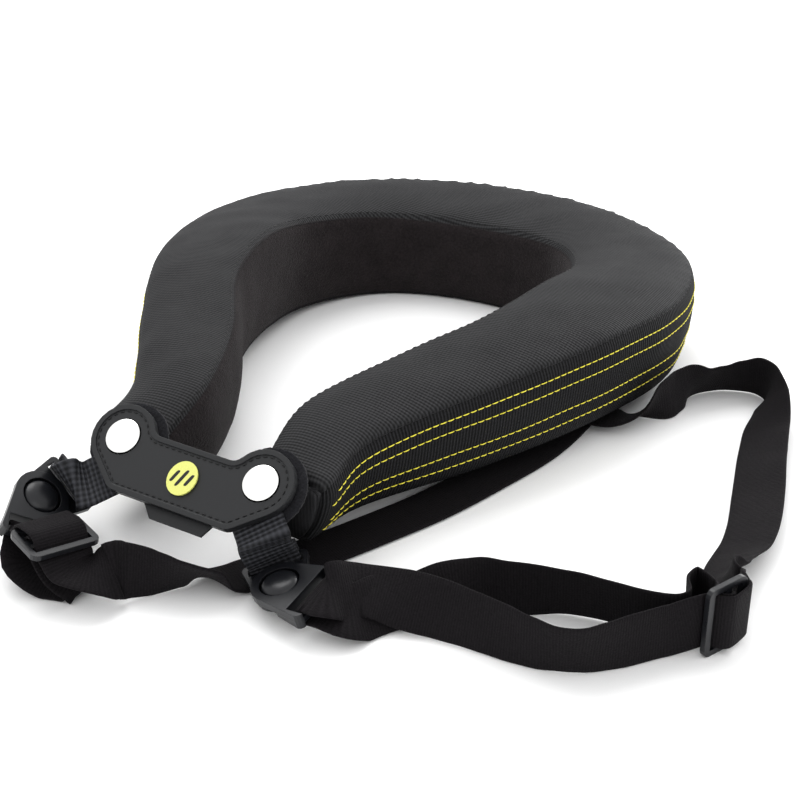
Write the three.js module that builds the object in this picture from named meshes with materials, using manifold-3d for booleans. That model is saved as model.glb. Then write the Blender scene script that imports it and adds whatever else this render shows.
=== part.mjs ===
// Motocross neck brace: a padded horseshoe collar lying on the floor, closed at the front
// by a moulded rubber bridge on two snaps, with two elastic straps on swivel buckles.
// Millimetres, +Z up, X across the collar (wearer's right side at -X), +Y towards its back.
import * as THREE from "three";
import { mergeVertices } from "three/addons/utils/BufferGeometryUtils.js";
import Module from "manifold-3d";

const wasm = await Module();
wasm.setup();

// Driving sizes
const COLLAR_WIDTH = 270;
const COLLAR_DEPTH = 341;
const COLLAR_HEIGHT = 60;
const NECK_WIDTH = 146;
const PANEL_THICK = 2;
const TOP_CROWN = 5;
const WALL_BULGE = 3;
const TIP_ROUND = 5;
const CLEARANCE = 0.3;

const BRIDGE_SPAN = 66;
const BRIDGE_THICK = 3;
const BRIDGE_TILT = 50;
const LOBE_RADIUS = 14;
const BRIDGE_RIM = 2.2;
const RIM_HEIGHT = 0.6;
const SNAP_DIAMETER = 15;
const SNAP_HEIGHT = 3;
const HOLE_MARGIN = 0.4;
const HOOK_PAD_RADIUS = 17;
const HOOK_PAD_THICK = 1.8;
const EMBLEM_WIDTH = 13;
const EMBLEM_HEIGHT = 14.5;
const EMBLEM_THICK = 0.8;
const LABEL_WIDTH = 32;
const LABEL_DROP = 5;
const LABEL_THICK = 1;

const STRAP_WIDTH = 23;
const STRAP_THICK = 1.3;
const WEBBING_WIDTH = 21;
const WEBBING_THICK = 1.5;
const TAB_OVERLAP = 4.5;
const TAB_RETURN = 9;

const BUCKLE_PLATE = 2.6;
const BUCKLE_HEAD = 3.2;
const HEAD_RADIUS = 11.4;
const RIVET_RADIUS = 7.6;
const RIVET_RISE = 3.2;
const BUCKLE_RAIL = 2.4;
const SLOT_START = 12.6;
const SLOT_WIDTH = 4.4;
const BAR_WIDTH = 3.4;
const BAR_THICK = 2.4;
const TURN_ROOM = 0.1;
const SWIVEL_ANGLE = 136;

const TRIGLIDE_PITCH = 8.6;
const TRIGLIDE_BAR = 3;
const TRIGLIDE_THICK = 2.2;
const TRIGLIDE_RAIL = 2.5;

// Half of the collar from the middle of its back (first row) to its front tip (last row).
// Widths are shares of half the neck opening or half the collar, depths of COLLAR_DEPTH
// from the front, heights and the foot's inset of COLLAR_HEIGHT.
const COLLAR_ROWS = [
  { innerX: 0.0, innerY: 0.824, innerZ: 0.75, outerX: 0.0, outerY: 1.0, outerZ: 0.82, footZ: 0.0, inset: 0.085 },
  { innerX: 0.66, innerY: 0.792, innerZ: 0.78, outerX: 0.49, outerY: 0.959, outerZ: 0.82, footZ: 0.0, inset: 0.085 },
  { innerX: 1.0, innerY: 0.686, innerZ: 0.87, outerX: 0.88, outerY: 0.836, outerZ: 0.8, footZ: 0.045, inset: 0.085 },
  { innerX: 1.0, innerY: 0.551, innerZ: 1.0, outerX: 1.0, outerY: 0.651, outerZ: 0.83, footZ: 0.135, inset: 0.085 },
  { innerX: 0.85, innerY: 0.413, innerZ: 0.98, outerX: 0.89, outerY: 0.457, outerZ: 0.88, footZ: 0.18, inset: 0.085 },
  { innerX: 0.53, innerY: 0.287, innerZ: 0.88, outerX: 0.67, outerY: 0.287, outerZ: 0.82, footZ: 0.15, inset: 0.09 },
  { innerX: 0.3, innerY: 0.147, innerZ: 0.82, outerX: 0.44, outerY: 0.129, outerZ: 0.72, footZ: 0.15, inset: 0.12 },
  { innerX: 0.3, innerY: 0.047, innerZ: 0.65, outerX: 0.42, outerY: 0.035, outerZ: 0.64, footZ: 0.15, inset: 0.2 },
];
const BACK_PATCH_ROW = 1.8;
const LOFT_STEPS = 42;
const TIP_ANGLES = [35, 65];

// Profiles of the padded faces: place along the face and rise above its chord, as shares
const TOP_PROFILE = [
  { along: 0, rise: 0 },
  { along: 0.1, rise: 0.55 },
  { along: 0.32, rise: 0.95 },
  { along: 0.6, rise: 1 },
  { along: 0.84, rise: 0.7 },
  { along: 0.96, rise: 0.3 },
  { along: 1, rise: 0 },
];
const WALL_PROFILE = [
  { along: 0, rise: 0 },
  { along: 0.22, rise: 0.75 },
  { along: 0.55, rise: 1 },
  { along: 0.85, rise: 0.55 },
  { along: 1, rise: 0 },
];

// Straps: a row per station of the ribbon's middle line. x is a share of half the collar's
// width, y of COLLAR_DEPTH from the front, z of STRAP_WIDTH above the floor; the last three
// columns give the direction across the ribbon.
const LEFT_STRAP_ROWS = [
  { x: 0.72, y: 0.72, z: 0.055, ax: 1, ay: 0.05, az: 0 },
  { x: 0.735, y: 0.62, z: 0.05, ax: 1, ay: 0.03, az: 0 },
  { x: 0.73, y: 0.53, z: 0.045, ax: 1, ay: -0.05, az: 0 },
  { x: 0.7, y: 0.41, z: 0.045, ax: 0.97, ay: -0.22, az: 0 },
  { x: 0.61, y: 0.293, z: 0.045, ax: 0.95, ay: -0.3, az: 0 },
  { x: 0.53, y: 0.208, z: 0.045, ax: 0.93, ay: -0.37, az: 0 },
  { x: 0.44, y: 0.135, z: 0.045, ax: 0.87, ay: -0.5, az: 0 },
  { x: 0.32, y: 0.047, z: 0.045, ax: 0.75, ay: -0.66, az: 0 },
  { x: 0.205, y: -0.025, z: 0.045, ax: 0.8, ay: -0.6, az: 0 },
  { x: 0.18, y: -0.0405, z: 0.055, ax: 0.76, ay: -0.64, az: 0.05 },
  { x: 0.162, y: -0.0545, z: 0.14, ax: 0.6, ay: -0.74, az: 0.28 },
  { x: 0.145, y: -0.0665, z: 0.29, ax: 0.48, ay: -0.64, az: 0.58 },
  { x: 0.131, y: -0.076, z: 0.38, ax: 0.43, ay: -0.58, az: 0.69 },
  { x: 0.091, y: -0.089, z: 0.434, ax: 0.34, ay: -0.42, az: 0.84 },
  { x: 0.046, y: -0.099, z: 0.477, ax: 0.19, ay: -0.23, az: 0.95 },
  { x: 0.006, y: -0.106, z: 0.5, ax: 0.06, ay: -0.01, az: 1 },
  { x: -0.023, y: -0.112, z: 0.52, ax: -0.01, ay: 0.1, az: 1 },
  { x: -0.049, y: -0.118, z: 0.54, ax: -0.05, ay: 0.24, az: 0.97 },
  { x: -0.076, y: -0.119, z: 0.52, ax: -0.25, ay: 0.52, az: 0.82 },
  { x: -0.091, y: -0.1272, z: 0.518, ax: -0.39, ay: 0.77, az: 0.51 },
  { x: -0.116, y: -0.1378, z: 0.547, ax: -0.42, ay: 0.9, az: 0.12 },
  { x: -0.146, y: -0.1447, z: 0.587, ax: -0.12, ay: 0.99, az: -0.04 },
  { x: -0.18, y: -0.1464, z: 0.63, ax: 0.25, ay: 0.96, az: -0.1 },
];
const RIGHT_BACK_ROWS = [
  { x: 1.43, y: 0.064, z: 0.5, ax: 0, ay: -0.1, az: 1 },
  { x: 1.33, y: 0.06, z: 0.5, ax: 0, ay: -0.2, az: 0.98 },
  { x: 1.235, y: 0.063, z: 0.5, ax: 0.02, ay: -0.26, az: 0.97 },
  { x: 1.125, y: 0.06, z: 0.5, ax: 0.02, ay: -0.2, az: 0.98 },
  { x: 0.97, y: 0.04, z: 0.48, ax: 0, ay: 0.1, az: 0.99 },
  { x: 0.82, y: 0.023, z: 0.38, ax: -0.2, ay: 0.62, az: 0.7 },
  { x: 0.7, y: -0.012, z: 0.22, ax: -0.15, ay: 0.9, az: 0.38 },
];
const RIGHT_FRONT_ROWS = [
  { x: 0.6, y: -0.042, z: 0.58, ax: -0.18, ay: 0.92, az: 0.36 },
  { x: 0.665, y: -0.032, z: 0.52, ax: -0.25, ay: 0.82, az: 0.5 },
  { x: 0.73, y: -0.03, z: 0.5, ax: -0.25, ay: 0.66, az: 0.7 },
  { x: 0.83, y: -0.03, z: 0.5, ax: -0.18, ay: 0.42, az: 0.88 },
  { x: 0.93, y: -0.034, z: 0.5, ax: -0.13, ay: 0.25, az: 0.96 },
  { x: 1.02, y: -0.039, z: 0.5, ax: -0.1, ay: 0.15, az: 0.98 },
  { x: 1.11, y: -0.044, z: 0.5, ax: -0.04, ay: -0.04, az: 1 },
  { x: 1.19, y: -0.043, z: 0.5, ax: 0, ay: -0.22, az: 0.97 },
  { x: 1.245, y: -0.035, z: 0.5, ax: 0, ay: -0.25, az: 0.97 },
  { x: 1.29, y: -0.02, z: 0.5, ax: -0.03, ay: -0.18, az: 0.98 },
  { x: 1.35, y: 0.005, z: 0.5, ax: -0.05, ay: -0.06, az: 1 },
  { x: 1.43, y: 0.04, z: 0.5, ax: -0.05, ay: -0.03, az: 1 },
];
const RIGHT_SLACK_ROWS = [
  { x: 1.45, y: 0.078, z: 0.5, ax: 0, ay: -0.15, az: 0.98 },
  { x: 1.43, y: 0.105, z: 0.5, ax: 0, ay: -0.2, az: 0.97 },
  { x: 1.44, y: 0.124, z: 0.5, ax: 0, ay: -0.2, az: 0.97 },
  { x: 1.475, y: 0.119, z: 0.5, ax: -0.03, ay: -0.15, az: 0.98 },
  { x: 1.51, y: 0.1, z: 0.5, ax: -0.03, ay: -0.05, az: 1 },
];
const RIGHT_REAR_ROWS = [
  { x: 1.555, y: 0.132, z: 0.47, ax: 0.25, ay: -0.22, az: 0.94 },
  { x: 1.494, y: 0.164, z: 0.36, ax: 0.56, ay: -0.5, az: 0.67 },
  { x: 1.483, y: 0.196, z: 0.31, ax: 0.7, ay: -0.44, az: 0.57 },
  { x: 1.481, y: 0.225, z: 0.265, ax: 0.76, ay: -0.44, az: 0.48 },
  { x: 1.494, y: 0.272, z: 0.205, ax: 0.89, ay: -0.29, az: 0.35 },
  { x: 1.488, y: 0.32, z: 0.18, ax: 0.9, ay: -0.32, az: 0.31 },
  { x: 1.455, y: 0.4, z: 0.15, ax: 0.94, ay: -0.2, az: 0.26 },
  { x: 1.415, y: 0.482, z: 0.16, ax: 0.9, ay: -0.3, az: 0.31 },
  { x: 1.385, y: 0.553, z: 0.17, ax: 0.81, ay: -0.5, az: 0.32 },
  { x: 1.355, y: 0.63, z: 0.22, ax: 0.6, ay: -0.65, az: 0.45 },
  { x: 1.33, y: 0.672, z: 0.42, ax: 0.3, ay: -0.4, az: 0.87 },
  { x: 1.28, y: 0.688, z: 0.48, ax: 0.13, ay: -0.23, az: 0.97 },
  { x: 1.22, y: 0.684, z: 0.45, ax: 0.1, ay: -0.4, az: 0.91 },
  { x: 1.15, y: 0.668, z: 0.38, ax: 0.08, ay: -0.62, az: 0.78 },
  { x: 1.09, y: 0.64, z: 0.34, ax: 0.05, ay: -0.75, az: 0.66 },
  { x: 1.055, y: 0.6, z: 0.34, ax: -0.25, ay: -0.68, az: 0.69 },
  { x: 1.02, y: 0.56, z: 0.34, ax: -0.3, ay: -0.66, az: 0.69 },
  { x: 0.95, y: 0.53, z: 0.22, ax: -0.15, ay: -0.93, az: 0.3 },
  { x: 0.86, y: 0.518, z: 0.17, ax: -0.05, ay: -1, az: 0.05 },
  { x: 0.76, y: 0.52, z: 0.19, ax: 0, ay: -1, az: 0 },
  { x: 0.66, y: 0.525, z: 0.24, ax: 0, ay: -1, az: 0 },
];

const LEFT_SLACK_ROWS = [
  { x: -0.363, y: -0.136, z: 0.33, ax: 0.68, ay: 0.6, az: -0.42 },
  { x: -0.325, y: -0.137, z: 0.22, ax: 0.55, ay: 0.8, az: -0.2 },
  { x: -0.272, y: -0.131, z: 0.1, ax: 0.44, ay: 0.9, az: -0.03 },
  { x: -0.215, y: -0.126, z: 0.033, ax: 0.4, ay: 0.9, az: 0 },
  { x: -0.181, y: -0.126, z: 0.07, ax: 0.4, ay: 0.9, az: 0 },
  { x: -0.167, y: -0.1272, z: 0.157, ax: 0.4, ay: 0.9, az: 0 },
  { x: -0.182, y: -0.1295, z: 0.252, ax: 0.4, ay: 0.9, az: 0 },
  { x: -0.226, y: -0.135, z: 0.46, ax: 0.39, ay: 0.9, az: -0.08 },
];

// Webbing tabs: where each leaves the bridge's lower edge, in shares of BRIDGE_SPAN, and the
// way it drops to its buckle plate, in that plate's frame and in shares of HEAD_RADIUS
const TAB_EXITS = {
  left: { x: -0.54, y: -0.265, toX: -0.7, toY: -0.7 },
  right: { x: 0.576, y: -0.227, toX: 0.7, toY: -0.7 },
};
const TAB_ROWS = {
  left: [
    { out: 0.6, across: -0.46, up: 1.44 },
    { out: 0.68, across: -0.33, up: 1.08 },
    { out: 0.98, across: -0.16, up: 0.68 },
    { out: 1.31, across: -0.04, up: 0.3 },
  ],
  right: [
    { out: 1.12, across: 0.1, up: 1.16 },
    { out: 1.22, across: 0.08, up: 0.75 },
    { out: 1.36, across: 0.02, up: 0.36 },
  ],
};

// Colours of the real materials
const RIBBED_CLOTH = { color: 0x26272b, roughness: 0.9, metalness: 0 };
const FLEECE = { color: 0x2b2729, roughness: 1, metalness: 0 };
const SIDE_CLOTH = { color: 0x18181a, roughness: 0.9, metalness: 0 };
const FOAM = { color: 0x3a3a3c, roughness: 1, metalness: 0 };
const RUBBER = { color: 0x1d1e20, roughness: 0.6, metalness: 0 };
const NICKEL = { color: 0xe6e6e4, roughness: 0.15, metalness: 1 };
const PALE_YELLOW = { color: 0xe8e878, roughness: 0.6, metalness: 0 };
const HOOK_LOOP = { color: 0x1c1c1e, roughness: 1, metalness: 0 };
const WEBBING = { color: 0x141416, roughness: 0.85, metalness: 0 };
const ELASTIC = { color: 0x1b191b, roughness: 0.9, metalness: 0 };
const ACETAL = { color: 0x2a2b2e, roughness: 0.45, metalness: 0 };

const model = new THREE.Group();

function addMesh(name, geometry, finish, frame) {
  const mesh = new THREE.Mesh(geometry, new THREE.MeshStandardMaterial(finish));
  mesh.name = name;
  if (frame) {
    mesh.applyMatrix4(frame);
  }
  model.add(mesh);
  return mesh;
}

// A frame with its origin, its X direction and its Z direction (made square to each other)
function makeFrame(origin, xDirection, zDirection) {
  const z = zDirection.clone().normalize();
  const y = z.clone().cross(xDirection).normalize();
  const x = y.clone().cross(z);
  return new THREE.Matrix4().makeBasis(x, y, z).setPosition(origin);
}

function inFrame(frame, x, y, z) {
  return new THREE.Vector3(x, y, z).applyMatrix4(frame);
}

// Joins and cuts
function toSolid(geometry) {
  const bare = geometry.clone();
  bare.deleteAttribute("normal");
  bare.deleteAttribute("uv");
  const merged = mergeVertices(bare, 1e-4);
  return new wasm.Manifold(new wasm.Mesh({
    numProp: 3,
    vertProperties: new Float32Array(merged.attributes.position.array),
    triVerts: new Uint32Array(merged.index.array),
  }));
}

function toGeometry(solid) {
  const mesh = solid.getMesh();
  const geometry = new THREE.BufferGeometry();
  geometry.setAttribute("position", new THREE.BufferAttribute(new Float32Array(mesh.vertProperties), 3));
  geometry.setIndex(new THREE.BufferAttribute(new Uint32Array(mesh.triVerts), 1));
  return geometry;
}

// A closed solid from rings of points, each ring joined to the next. A round ring's end is
// closed from its middle; any other ring's end is closed by pairing its points from both ends.
function loftRings(rings, round = false) {
  const size = rings[0].length;
  const points = rings.flat();
  const indices = [];
  for (let ring = 0; ring + 1 < rings.length; ring += 1) {
    for (let side = 0; side < size; side += 1) {
      const next = (side + 1) % size;
      const a = ring * size + side;
      const b = ring * size + next;
      if (round || side < size / 2) {
        indices.push(a, b, b + size, a, b + size, a + size);
      } else {
        indices.push(a, b, a + size, b, b + size, a + size);
      }
    }
  }
  const last = (rings.length - 1) * size;
  if (round) {
    for (const ring of [rings[0], rings[rings.length - 1]]) {
      points.push(ring.reduce((sum, point) => sum.add(point), new THREE.Vector3()).divideScalar(size));
    }
    for (let side = 0; side < size; side += 1) {
      const next = (side + 1) % size;
      indices.push(next, side, points.length - 2, last + side, last + next, points.length - 1);
    }
  } else {
    for (let side = 0; side + 1 < size / 2; side += 1) {
      const far = size - 1 - side;
      indices.push(side, far, side + 1, side + 1, far, far - 1);
      indices.push(last + side, last + side + 1, last + far, last + side + 1, last + far - 1, last + far);
    }
  }
  const geometry = new THREE.BufferGeometry();
  const positions = points.flatMap((point) => [point.x, point.y, point.z]);
  geometry.setAttribute("position", new THREE.Float32BufferAttribute(positions, 3));
  geometry.setIndex(indices);
  return outwards(geometry);
}

// Turns all faces round where a solid came out with its inside facing out
function outwards(geometry) {
  const position = geometry.attributes.position;
  const index = geometry.index.array;
  const corners = [new THREE.Vector3(), new THREE.Vector3(), new THREE.Vector3()];
  let volume = 0;
  for (let face = 0; face < index.length; face += 3) {
    corners.forEach((corner, k) => corner.fromBufferAttribute(position, index[face + k]));
    volume += corners[0].dot(corners[1].clone().cross(corners[2]));
  }
  if (volume < 0) {
    const turned = [];
    for (let face = 0; face < index.length; face += 3) {
      turned.push(index[face], index[face + 2], index[face + 1]);
    }
    geometry.setIndex(turned);
  }
  return geometry;
}

// The collar's guide lines: the mirrored rows give points from one tip round the back to the other
function guideLine(point) {
  const half = COLLAR_ROWS.map(point);
  const mirrored = half.slice(1).reverse().map((p) => new THREE.Vector3(-p.x, p.y, p.z));
  return new THREE.CatmullRomCurve3([...mirrored, ...half], false, "catmullrom", 0.5);
}

const innerLine = guideLine((row) => new THREE.Vector3(
  (row.innerX * NECK_WIDTH) / 2, row.innerY * COLLAR_DEPTH, row.innerZ * COLLAR_HEIGHT));
const outerLine = guideLine((row) => new THREE.Vector3(
  (row.outerX * COLLAR_WIDTH) / 2, row.outerY * COLLAR_DEPTH, row.outerZ * COLLAR_HEIGHT));
const footLine = guideLine((row) => new THREE.Vector3(0, row.inset * COLLAR_HEIGHT, row.footZ * COLLAR_HEIGHT));

// Outline of the collar's section in its own plane: x from the neck outwards, y up.
// The faces follow each other as neck wall, top, outer wall and base.
function sectionOutline(width, innerTop, outerTop, foot, inset) {
  const footIn = new THREE.Vector2(inset * 0.3, foot);
  const topIn = new THREE.Vector2(0, innerTop);
  const topOut = new THREE.Vector2(width, outerTop);
  const footOut = new THREE.Vector2(width - inset, foot);
  const faces = [
    paddedFace(footIn, topIn, WALL_PROFILE, WALL_BULGE),
    paddedFace(topIn, topOut, TOP_PROFILE, TOP_CROWN),
    paddedFace(topOut, footOut, WALL_PROFILE, WALL_BULGE),
  ];
  return { points: [...faces[0].slice(0, -1), ...faces[1].slice(0, -1), ...faces[2]], footIn, footOut };
}

function paddedFace(start, end, profile, rise) {
  const chord = end.clone().sub(start);
  const normal = new THREE.Vector2(-chord.y, chord.x).normalize();
  return profile.map((row) => start.clone().addScaledVector(chord, row.along)
    .addScaledVector(normal, row.rise * rise));
}

const NECK_FACE = [0, WALL_PROFILE.length - 1];
const TOP_FACE = [NECK_FACE[1], NECK_FACE[1] + TOP_PROFILE.length - 1];
const SIDE_FACE = [TOP_FACE[1], TOP_FACE[1] + WALL_PROFILE.length - 1];

// Moves a closed outline inwards by a distance, with mitred corners
function insetOutline(points, distance) {
  return points.map((point, index) => {
    const before = points[(index + points.length - 1) % points.length];
    const after = points[(index + 1) % points.length];
    const first = point.clone().sub(before).normalize();
    const second = after.clone().sub(point).normalize();
    const normal = new THREE.Vector2(first.y + second.y, -first.x - second.x).normalize();
    const reach = distance / Math.max(0.45, normal.dot(new THREE.Vector2(first.y, -first.x)));
    return point.clone().addScaledVector(normal, reach);
  });
}

// Where the loft's section stands for a place from 0 (left tip) to 1 (right tip); beyond an
// end the section moves on along the collar's line and shrinks round the tip
function collarSection(place, beyond = 0, shrink = 0) {
  const inner = innerLine.getPoint(place);
  const outer = outerLine.getPoint(place);
  const foot = footLine.getPoint(place);
  const axis = new THREE.Vector3(outer.x - inner.x, outer.y - inner.y, 0);
  const width = axis.length();
  axis.normalize();
  const outline = sectionOutline(width, inner.z, outer.z, Math.max(0, foot.z), foot.y);
  const core = outline.points.reduce((sum, point) => sum.add(point), new THREE.Vector2())
    .divideScalar(outline.points.length);
  const points = outline.points.map((point) => point.clone().lerp(core, (2 * shrink) / (inner.z - foot.z)));
  const along = innerLine.getTangent(place).add(outerLine.getTangent(place)).normalize();
  const shift = along.multiplyScalar(place > 0.5 ? beyond : -beyond);
  const lift = (flat) => new THREE.Vector3(inner.x, inner.y, 0).addScaledVector(axis, flat.x)
    .setZ(flat.y).add(shift);
  return { points, lift };
}

// The places of all the loft's sections, with one on each side of both seams of the back panel
const BACK_START = 0.5 - BACK_PATCH_ROW / (2 * (COLLAR_ROWS.length - 1));
const SEAM = 0.0006;
const seamPlaces = [BACK_START - SEAM, BACK_START + SEAM, 1 - BACK_START - SEAM, 1 - BACK_START + SEAM];
const evenPlaces = Array.from({ length: LOFT_STEPS + 1 }, (unused, step) => step / LOFT_STEPS);
const loftPlaces = [
  ...evenPlaces.filter((place) => seamPlaces.every((seam) => Math.abs(place - seam) > 0.3 / LOFT_STEPS)),
  ...seamPlaces,
].sort((a, b) => a - b);

// Stations along the collar, with the rounding steps at a free tip
function stationsBetween(start, end) {
  const stations = loftPlaces.filter((place) => place > start - SEAM / 2 && place < end + SEAM / 2)
    .map((place) => ({ place, beyond: 0, shrink: 0 }));
  for (const degrees of TIP_ANGLES) {
    const angle = THREE.MathUtils.degToRad(degrees);
    const beyond = TIP_ROUND * Math.sin(angle);
    const shrink = TIP_ROUND * (1 - Math.cos(angle));
    if (start === 0) {
      stations.unshift({ place: 0, beyond, shrink });
    }
    if (end === 1) {
      stations.push({ place: 1, beyond, shrink });
    }
  }
  return stations;
}

// A fabric panel over one face of the section, as thick as the cloth and its backing
function panelGeometry(face, start, end) {
  const rings = stationsBetween(start, end).map((station) => {
    const section = collarSection(station.place, station.beyond, station.shrink);
    const inside = insetOutline(section.points, PANEL_THICK);
    const skin = trimmedRun(section.points, face);
    const back = trimmedRun(inside, face);
    return [...skin, ...back.reverse()].map(section.lift);
  });
  return loftRings(rings);
}

// The run of outline points of one face, pulled back from both corners by half the clearance
function trimmedRun(points, face) {
  const run = points.slice(face[0], face[1] + 1).map((point) => point.clone());
  const last = run.length - 1;
  pullTowards(run[0], run[1], CLEARANCE * 0.7);
  pullTowards(run[last], run[last - 1], CLEARANCE * 0.7);
  return run;
}

function pullTowards(point, target, distance) {
  point.addScaledVector(target.clone().sub(point).normalize(), distance);
}

// The base closes the section from the outer foot back to the neck foot
function baseGeometry() {
  const rings = stationsBetween(0, 1).map((station) => {
    const section = collarSection(station.place, station.beyond, station.shrink);
    const inside = insetOutline(section.points, PANEL_THICK);
    const last = section.points.length - 1;
    const outer = [section.points[last].clone(), section.points[0].clone()];
    const inner = [inside[last].clone(), inside[0].clone()];
    for (const pair of [outer, inner]) {
      const start = pair[0].clone();
      pullTowards(pair[0], pair[1], CLEARANCE * 0.7);
      pullTowards(pair[1], start, CLEARANCE * 0.7);
    }
    return [...outer, inner[1], inner[0]].map(section.lift);
  });
  return loftRings(rings);
}

function foamGeometry() {
  const depth = PANEL_THICK + CLEARANCE;
  const rings = stationsBetween(0, 1).map((station) => {
    const section = collarSection(station.place, station.beyond, station.shrink);
    return insetOutline(section.points, depth).map(section.lift);
  });
  return loftRings(rings, true);
}

// The cloth over a tip's end, set just beyond the foam and the panels' rounded rims
function tipGeometry(place) {
  const reach = TIP_ROUND * Math.sin(THREE.MathUtils.degToRad(TIP_ANGLES[TIP_ANGLES.length - 1]));
  const rings = [0, PANEL_THICK].map((further) => {
    const section = collarSection(place, reach + CLEARANCE + further, TIP_ROUND * 0.75 + further * 0.6);
    return section.points.map(section.lift);
  });
  return loftRings(rings, true);
}

function addCollar() {
  addMesh("foam_pad", foamGeometry(), FOAM);
  addMesh("neck_panel", panelGeometry(NECK_FACE, 0, 1), FLEECE);
  addMesh("top_panel", panelGeometry(TOP_FACE, 0, 1), RIBBED_CLOTH);
  addMesh("side_panel_left", panelGeometry(SIDE_FACE, 0, BACK_START - SEAM), SIDE_CLOTH);
  addMesh("side_panel_right", panelGeometry(SIDE_FACE, 1 - BACK_START + SEAM, 1), SIDE_CLOTH);
  addMesh("back_panel", panelGeometry(SIDE_FACE, BACK_START + SEAM, 1 - BACK_START - SEAM), SIDE_CLOTH);
  addMesh("base_panel", baseGeometry(), SIDE_CLOTH);
  addMesh("tip_panel_left", tipGeometry(0), RIBBED_CLOTH);
  addMesh("tip_panel_right", tipGeometry(1), RIBBED_CLOTH);
}

// The bridge's own frame: X along the snaps, Y up its face, Z out of its face
const bridgeTilt = THREE.MathUtils.degToRad(BRIDGE_TILT);
const bridgeCentre = new THREE.Vector3(1.1, -1.9, 43.3);
const bridgeAcross = new THREE.Vector3(65.4, 0, -7.8).normalize();
const bridgeOut = new THREE.Vector3(0, -Math.cos(bridgeTilt), Math.sin(bridgeTilt));
const bridgeFrame = makeFrame(bridgeCentre, bridgeAcross, bridgeOut);

const BRIDGE_WAIST_TOP = 4.7;
const BRIDGE_BOTTOM = -22;
const WAIST_FILLET = 5;
const CORNER_RADIUS = 6;
const CORNER_X = 26;

function arcPoints(centre, radius, fromDegrees, toDegrees, steps) {
  const points = [];
  for (let step = 0; step <= steps; step += 1) {
    const angle = THREE.MathUtils.degToRad(fromDegrees + ((toDegrees - fromDegrees) * step) / steps);
    points.push(new THREE.Vector2(centre.x + radius * Math.cos(angle), centre.y + radius * Math.sin(angle)));
  }
  return points;
}

// A whole circle, its corners turned a little so that none lines up with another hole's
function circlePoints(x, radius, sides) {
  const phase = 7;
  return arcPoints({ x, y: 0 }, radius, phase, phase + 360, sides).slice(1);
}

// Dog-bone outline of the bridge, drawn smaller by an inset
function bridgeOutline(inset = 0) {
  const lobe = new THREE.Vector2(BRIDGE_SPAN / 2, 0);
  const rise = BRIDGE_WAIST_TOP + WAIST_FILLET;
  const run = Math.sqrt((LOBE_RADIUS + WAIST_FILLET) ** 2 - rise ** 2);
  const fillet = new THREE.Vector2(lobe.x - run, rise);
  const meet = THREE.MathUtils.radToDeg(Math.atan2(-rise, run));
  const corner = new THREE.Vector2(CORNER_X, BRIDGE_BOTTOM + CORNER_RADIUS);
  const between = corner.clone().sub(lobe);
  const tangent = THREE.MathUtils.radToDeg(
    Math.atan2(between.y, between.x) + Math.acos((LOBE_RADIUS - CORNER_RADIUS) / between.length()));
  const half = [
    ...arcPoints(fillet, WAIST_FILLET + inset, -90, meet, 4),
    ...arcPoints(lobe, LOBE_RADIUS - inset, 180 + meet, tangent, 14).slice(1),
    ...arcPoints(corner, CORNER_RADIUS - inset, tangent, -90, 3),
  ];
  const mirrored = half.map((point) => new THREE.Vector2(-point.x, point.y)).reverse();
  return [...half, ...mirrored];
}

function extruded(outline, low, high) {
  const geometry = new THREE.ExtrudeGeometry(new THREE.Shape(outline), { depth: high - low, bevelEnabled: false });
  geometry.translate(0, 0, low);
  return geometry;
}

// A flat plate as a solid, with its holes cut right through
function pierced(outline, holes, low, high) {
  const cuts = holes.map((hole) => toSolid(extruded(hole, low - 1, high + 1)));
  return cuts.reduce((solid, cut) => solid.subtract(cut), toSolid(extruded(outline, low, high)));
}

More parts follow.
